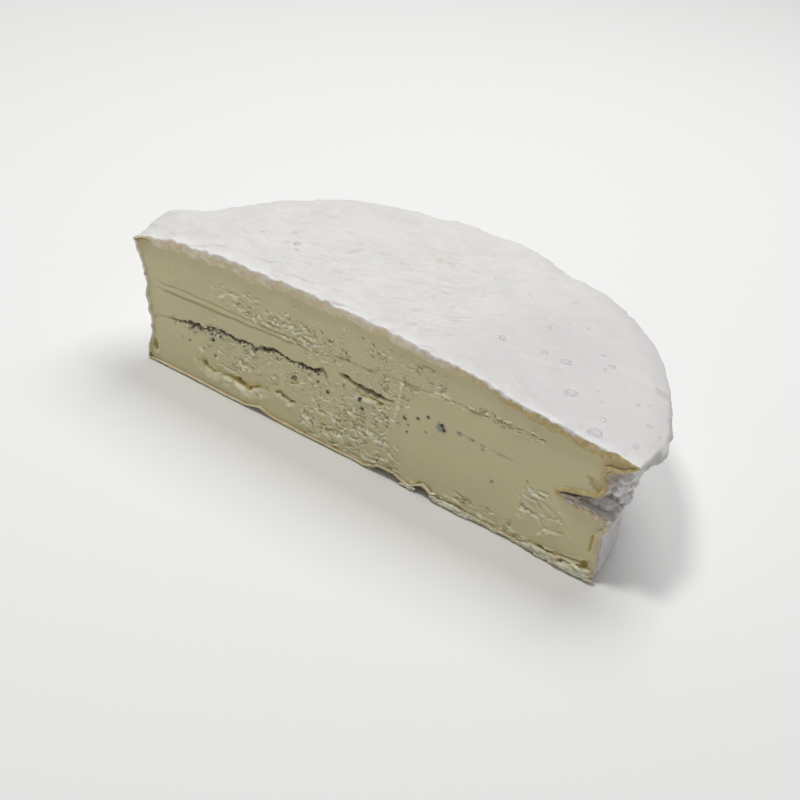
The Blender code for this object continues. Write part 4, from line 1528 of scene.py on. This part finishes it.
def ramp(nt, fac, lo, hi, a=0.0, b=1.0):
    r = nt.nodes.new("ShaderNodeMapRange")
    r.interpolation_type = 'SMOOTHSTEP'
    r.inputs["From Min"].default_value = lo
    r.inputs["From Max"].default_value = hi
    r.inputs["To Min"].default_value = a
    r.inputs["To Max"].default_value = b
    nt.links.new(fac, r.inputs["Value"])
    return r.outputs["Result"]


def attr(nt, name):
    a = nt.nodes.new("ShaderNodeAttribute")
    a.attribute_name = name
    return a.outputs["Fac"]


def mix(nt, fac, a, b):
    m = nt.nodes.new("ShaderNodeMix")
    m.data_type = 'RGBA'
    for sock, v in ((m.inputs[6], a), (m.inputs[7], b)):
        if isinstance(v, tuple):
            sock.default_value = (*v, 1.0)
        else:
            nt.links.new(v, sock)
    if isinstance(fac, float):
        m.inputs[0].default_value = fac
    else:
        nt.links.new(fac, m.inputs[0])
    return m.outputs[2]


def math_node(nt, op, a, b):
    m = nt.nodes.new("ShaderNodeMath")
    m.operation = op
    for i, v in enumerate((a, b)):
        if isinstance(v, (int, float)):
            m.inputs[i].default_value = v
        else:
            nt.links.new(v, m.inputs[i])
    return m.outputs[0]


def bump(nt, height, distance, strength, before=None):
    b = nt.nodes.new("ShaderNodeBump")
    b.inputs["Distance"].default_value = distance
    b.inputs["Strength"].default_value = strength
    nt.links.new(height, b.inputs["Height"])
    if before is not None:
        nt.links.new(before, b.inputs["Normal"])
    return b.outputs["Normal"]


def mat_rind():
    m, nt, b = nodes_of("mould_rind")
    v = mm_coords(nt)
    cut, wet, tan = attr(nt, "cut"), attr(nt, "wet"), attr(nt, "tan")
    blot = ramp(nt, tex_noise(nt, v, 0.09, 4.0, 0.6), 0.35, 0.68)
    fine = tex_noise(nt, v, 1.4, 4.0, 0.65)
    white = mix(nt, blot, (0.765, 0.748, 0.728), (0.715, 0.703, 0.694))
    white = mix(nt, ramp(nt, fine, 0.40, 0.75, 0.0, 0.35), white,
                (0.82, 0.81, 0.80))
    white = mix(nt, ramp(nt, tex_noise(nt, v, 0.22, 5.0, 0.62, 0.6), 0.46,
                         0.66, 0.0, 0.55), white, (0.80, 0.795, 0.785))
    white = mix(nt, ramp(nt, tex_noise(nt, v, 0.16, 4.0, 0.6, 0.8), 0.50,
                         0.68, 0.0, 0.5), white, (0.70, 0.675, 0.66))
    white = mix(nt, math_node(nt, 'MULTIPLY', wet, 0.6), white,
                (0.70, 0.68, 0.685))
    white = mix(nt, ramp(nt, attr(nt, "stain"), 0.1, 0.9, 0.0, 0.8), white,
                (0.66, 0.575, 0.47))
    beige = mix(nt, ramp(nt, tex_noise(nt, v, 0.55, 3.0, 0.6), 0.38, 0.66),
                (0.72, 0.605, 0.40), (0.82, 0.755, 0.60))
    dark_tan = mix(nt, ramp(nt, tex_noise(nt, v, 0.8, 3.0, 0.6), 0.35, 0.7),
                   (0.52, 0.405, 0.18), (0.68, 0.56, 0.31))
    band = mix(nt, tan, beige, dark_tan)
    warm = mix(nt, ramp(nt, tex_noise(nt, v, 0.9, 3.0, 0.6), 0.35, 0.68),
               (0.50, 0.42, 0.27), (0.66, 0.60, 0.50))
    col = mix(nt, ramp(nt, attr(nt, "warm"), 0.15, 0.8, 0.0, 0.9), white,
              warm)
    # whiter mould: edge fluff, and painted light in the shaded fold
    col = mix(nt, ramp(nt, attr(nt, "fluff_and_painted_light"), 0.1, 0.9, 0.0, 0.8), col,
              (0.86, 0.85, 0.84))
    # greyer: the spot on the rim, and painted shade patches in the fold
    col = mix(nt, ramp(nt, attr(nt, "spot_and_painted_shade"), 0.2, 1.0, 0.0, 0.55), col,
              (0.50, 0.47, 0.465))
    ragged = math_node(nt, 'ADD', cut, math_node(
        nt, 'MULTIPLY', math_node(nt, 'SUBTRACT', tex_noise(
            nt, v, 2.6, 4.0, 0.65), 0.5), 1.5))
    cutm = math_node(nt, 'MULTIPLY', ramp(nt, ragged, 0.25, 0.75),
                     ramp(nt, cut, 0.02, 0.15))
    col = mix(nt, cutm, col, band)
    nt.links.new(col, b.inputs["Base Color"])
    rough = ramp(nt, wet, 0.0, 1.0, 0.72, 0.42)
    nt.links.new(rough, b.inputs["Roughness"])
    b.inputs["Subsurface Weight"].default_value = 0.25
    b.inputs["Subsurface Radius"].default_value = (1.0, 0.9, 0.75)
    b.inputs["Subsurface Scale"].default_value = 0.0008
    b.inputs["Sheen Weight"].default_value = 0.12
    b.inputs["Sheen Roughness"].default_value = 0.5
    b.inputs["Specular IOR Level"].default_value = 0.35
    h1 = tex_noise(nt, v, 1.1, 5.0, 0.62, 0.4)
    h2 = tex_noise(nt, v, 4.5, 4.0, 0.6)
    n1 = bump(nt, h1, 0.00022, 0.35)
    n2 = bump(nt, h2, 0.00008, 0.35, n1)
    nt.links.new(n2, b.inputs["Normal"])
    return m


def mat_paste():
    m, nt, b = nodes_of("cheese_paste")
    v = mm_coords(nt)
    col = mix(nt, ramp(nt, tex_noise(nt, v, 0.07, 3.0, 0.55), 0.35, 0.68),
              (0.700, 0.640, 0.385), (0.665, 0.612, 0.372))
    col = mix(nt, ramp(nt, tex_noise(nt, v, 0.9, 4.0, 0.6), 0.45, 0.75, 0.0,
                       0.35), col, (0.74, 0.685, 0.45))
    # paler torn paste, with a painted highlight on the up-facing lips
    col = mix(nt, ramp(nt, attr(nt, "pale_and_painted_highlight"), 0.05, 0.8, 0.0, 0.95), col,
              (0.95, 0.91, 0.70))
    # ochre: painted shade in the torn hollows, and the halo round brown specks
    col = mix(nt, ramp(nt, attr(nt, "ochre_stain_and_painted_shade"), 0.08, 0.95, 0.0, 0.9), col,
              (0.60, 0.455, 0.130))
    col = mix(nt, ramp(nt, attr(nt, "tan"), 0.0, 1.0, 0.0, 0.85), col,
              (0.58, 0.46, 0.235))
    col = mix(nt, ramp(nt, attr(nt, "blue"), 0.03, 1.0, 0.0, 0.9), col,
              (0.30, 0.30, 0.27))
    col = mix(nt, ramp(nt, attr(nt, "brown"), 0.1, 0.9, 0.0, 0.95), col,
              (0.16, 0.085, 0.04))
    col = mix(nt, ramp(nt, attr(nt, "dark"), 0.1, 0.85, 0.0, 0.97), col,
              (0.075, 0.058, 0.044))
    nt.links.new(col, b.inputs["Base Color"])
    rough = ramp(nt, tex_noise(nt, v, 0.8, 3.0, 0.6), 0.3, 0.7, 0.42, 0.62)
    nt.links.new(rough, b.inputs["Roughness"])
    b.inputs["Subsurface Weight"].default_value = 0.25
    b.inputs["Subsurface Radius"].default_value = (1.0, 0.75, 0.35)
    b.inputs["Subsurface Scale"].default_value = 0.0005
    b.inputs["Specular IOR Level"].default_value = 0.3
    h1 = tex_noise(nt, v, 1.6, 5.0, 0.6, 0.6)
    h2 = tex_noise(nt, v, 5.0, 3.0, 0.6)
    n1 = bump(nt, h1, 0.00012, 0.35)
    n2 = bump(nt, h2, 0.00005, 0.30, n1)
    nt.links.new(n2, b.inputs["Normal"])
    return m


def mat_truffle():
    m, nt, b = nodes_of("truffle")
    v = mm_coords(nt)
    tone = attr(nt, "tone")
    col = mix(nt, ramp(nt, tex_noise(nt, v, 0.8, 3.0, 0.6), 0.42, 0.66),
              (0.055, 0.047, 0.044), (0.105, 0.078, 0.060))
    col = mix(nt, ramp(nt, tone, 0.16, 0.28), col, (0.150, 0.095, 0.055))
    col = mix(nt, ramp(nt, tone, 0.42, 0.56), col, (0.270, 0.190, 0.115))
    col = mix(nt, ramp(nt, tone, 0.66, 0.74), col, (0.27, 0.275, 0.28))
    col = mix(nt, ramp(nt, tone, 0.82, 0.86), col, (0.74, 0.70, 0.52))
    nt.links.new(col, b.inputs["Base Color"])
    rough = ramp(nt, tex_noise(nt, v, 2.0, 2.0, 0.5), 0.3, 0.7, 0.5, 0.85)
    nt.links.new(rough, b.inputs["Roughness"])
    n1 = bump(nt, tex_noise(nt, v, 4.0, 3.0, 0.6), 0.0001, 0.6)
    nt.links.new(n1, b.inputs["Normal"])
    return m


def mat_crumb():
    m, nt, b = nodes_of("crumbs")
    v = mm_coords(nt)
    # painted light: a paler cream than the paste they come from, to lighten
    # crumbs that sit in shade
    col = mix(nt, ramp(nt, tex_noise(nt, v, 0.7, 3.0, 0.6), 0.35, 0.68),
              (0.84, 0.78, 0.54), (0.93, 0.90, 0.74))
    col = mix(nt, ramp(nt, attr(nt, "tone"), 0.80, 0.97, 0.0, 0.7), col,
              (0.60, 0.50, 0.29))
    nt.links.new(col, b.inputs["Base Color"])
    rough = ramp(nt, tex_noise(nt, v, 0.8, 3.0, 0.6), 0.3, 0.7, 0.45, 0.65)
    nt.links.new(rough, b.inputs["Roughness"])
    b.inputs["Subsurface Weight"].default_value = 0.3
    b.inputs["Subsurface Radius"].default_value = (1.0, 0.75, 0.4)
    b.inputs["Subsurface Scale"].default_value = 0.0006
    n1 = bump(nt, tex_noise(nt, v, 3.0, 4.0, 0.6), 0.00012, 0.5)
    nt.links.new(n1, b.inputs["Normal"])
    return m


def mat_fold():
    m, nt, b = nodes_of("fold_rind")
    v = mm_coords(nt)
    tone = attr(nt, "tone")
    pink = mix(nt, ramp(nt, tex_noise(nt, v, 1.1, 3.0, 0.6), 0.38, 0.66),
               (0.44, 0.35, 0.26), (0.62, 0.57, 0.52))
    cream = mix(nt, ramp(nt, tex_noise(nt, v, 0.9, 3.0, 0.6), 0.38, 0.66),
                (0.62, 0.51, 0.24), (0.84, 0.78, 0.55))
    col = mix(nt, ramp(nt, tone, 0.35, 0.8), pink, cream)
    mould = mix(nt, ramp(nt, tex_noise(nt, v, 0.8, 4.0, 0.6, 0.5), 0.40,
                         0.62), (0.86, 0.85, 0.84), (0.66, 0.62, 0.60))
    # painted shade on the crumpled mould lumps, by their tone
    mould = mix(nt, ramp(nt, tone, 0.15, 0.6, 0.0, 0.9), mould,
                (0.42, 0.375, 0.36))
    col = mix(nt, ramp(nt, attr(nt, "mould"), 0.2, 0.8), col, mould)
    nt.links.new(col, b.inputs["Base Color"])
    rough = ramp(nt, tex_noise(nt, v, 1.5, 2.0, 0.5), 0.3, 0.7, 0.5, 0.75)
    nt.links.new(rough, b.inputs["Roughness"])
    b.inputs["Subsurface Weight"].default_value = 0.3
    b.inputs["Subsurface Radius"].default_value = (1.0, 0.8, 0.5)
    b.inputs["Subsurface Scale"].default_value = 0.0005
    n1 = bump(nt, tex_noise(nt, v, 2.2, 4.0, 0.65), 0.00018, 0.6)
    nt.links.new(n1, b.inputs["Normal"])
    return m


def mat_water():
    m, nt, b = nodes_of("moisture")
    v = mm_coords(nt)
    b.inputs["Base Color"].default_value = (0.97, 0.975, 0.98, 1)
    b.inputs["IOR"].default_value = 1.33
    b.inputs["Transmission Weight"].default_value = 1.0
    b.inputs["Alpha"].default_value = 0.42
    rough = ramp(nt, tex_noise(nt, v, 1.0, 2.0, 0.5), 0.3, 0.7, 0.02, 0.07)
    nt.links.new(rough, b.inputs["Roughness"])
    return m


# ------------------------------------------------------------------- pieces
V, F, M = rind_mesh()
rind = make_object("rind", V, F, M)
rind.data.materials.append(mat_rind())
V, F, M = paste_mesh()
paste = make_object("paste", V, F, M)
paste.data.materials.append(mat_paste())

V1, F1, T1 = blobs(truffle_items())
V2, F2 = layer_sheet()
truffle = make_object("truffle_spread", np.concatenate([V2, V1]),
                      F2 + [tuple(i + len(V2) for i in f) for f in F1],
                      {"tone": np.concatenate([np.full(len(V2), 0.1), T1])})
truffle.data.materials.append(mat_truffle())

V, F, T = blobs(crumb_items())
V[:, 2] = np.maximum(V[:, 2], 0.01)
crumbs = make_object("edge_crumbs", V, F, {"tone": T})
crumbs.data.materials.append(mat_crumb())

V, F, T = ribs()
V2, F2, T2 = crumpled()
folds = make_object("fold_rind", np.concatenate([V, V2]),
                    F + [tuple(i + len(V) for i in f) for f in F2],
                    {"tone": np.concatenate([T, T2]),
                     "mould": np.concatenate([0 * T, 0 * T2 + 1])})
folds.data.materials.append(mat_fold())

V, F = drops_mesh()
drops = make_object("moisture_drops", V, F)
drops.data.materials.append(mat_water())

for ob in (rind, paste, crumbs, folds, drops, truffle):
    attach(ob, "root")
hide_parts("cheese_body")
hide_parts("truffle_layer")

# ------------------------------------------------------------ floor, lights
bpy.ops.mesh.primitive_plane_add(size=6.0, location=(0, 0, -0.0002))
floor = bpy.context.object
floor.name = "floor"
fm, fnt, fb = nodes_of("floor")
fb.inputs["Base Color"].default_value = (0.93, 0.93, 0.93, 1)
fb.inputs["Roughness"].default_value = 0.9
fb.inputs["Specular IOR Level"].default_value = 0.1
floor.data.materials.append(fm)

world = bpy.data.worlds.new("world")
bpy.context.scene.world = world
world.use_nodes = True
world.node_tree.nodes["Background"].inputs["Color"].default_value = (1, 1, 1,
                                                                    1)
world.node_tree.nodes["Background"].inputs["Strength"].default_value = 0.22


def area(name, loc, target, size, watts, colour=(1, 1, 1)):
    li = bpy.data.lights.new(name, 'AREA')
    li.shape = 'SQUARE'
    li.size = size
    li.energy = watts
    li.color = colour
    ob = bpy.data.objects.new(name, li)
    ob.location = loc
    d = Vector(target) - Vector(loc)
    ob.rotation_euler = d.to_track_quat('-Z', 'Y').to_euler()
    bpy.context.scene.collection.objects.link(ob)
    return ob


area("key", (-0.03, 0.31, 0.60), (0, 0, 0.02), 0.40, 2.15,
     (1, 0.995, 0.985))
area("overhead", (-0.14, -0.13, 0.62), (0, 0, 0.02), 0.12, 1.45,
     (1.0, 0.995, 0.98))

# ------------------------------------------------------------------- camera
AZ, EL, ROLL = math.radians(29.03), math.radians(31.84), math.radians(8.79)
DIST = 4.903 * 65.0
TARGET = np.array([0.0, 19.5, 13.0])
back = np.array([math.sin(AZ) * math.cos(EL), -math.cos(AZ) * math.cos(EL),
                 math.sin(EL)])
right = np.cross(-back, [0, 0, 1.0])
right /= np.linalg.norm(right)
up = np.cross(right, -back)
cx = math.cos(ROLL) * right + math.sin(ROLL) * up
cy = -math.sin(ROLL) * right + math.cos(ROLL) * up
loc = (TARGET + back * DIST + np.array([WHEEL_X, WHEEL_Y, 0])) * MM
cam_data = bpy.data.cameras.new("camera")
cam_data.lens = 63.0
cam_data.sensor_width = 36.0
cam_data.shift_x = -7.0 / 800
cam_data.shift_y = -24.0 / 800
cam_data.clip_start = 0.01
cam = bpy.data.objects.new("camera", cam_data)
bpy.context.scene.collection.objects.link(cam)
cam.matrix_world = Matrix((
    (cx[0], cy[0], back[0], loc[0]),
    (cx[1], cy[1], back[1], loc[1]),
    (cx[2], cy[2], back[2], loc[2]),
    (0, 0, 0, 1)))
bpy.context.scene.camera = cam
bpy.context.scene.view_settings.view_transform = 'Standard'
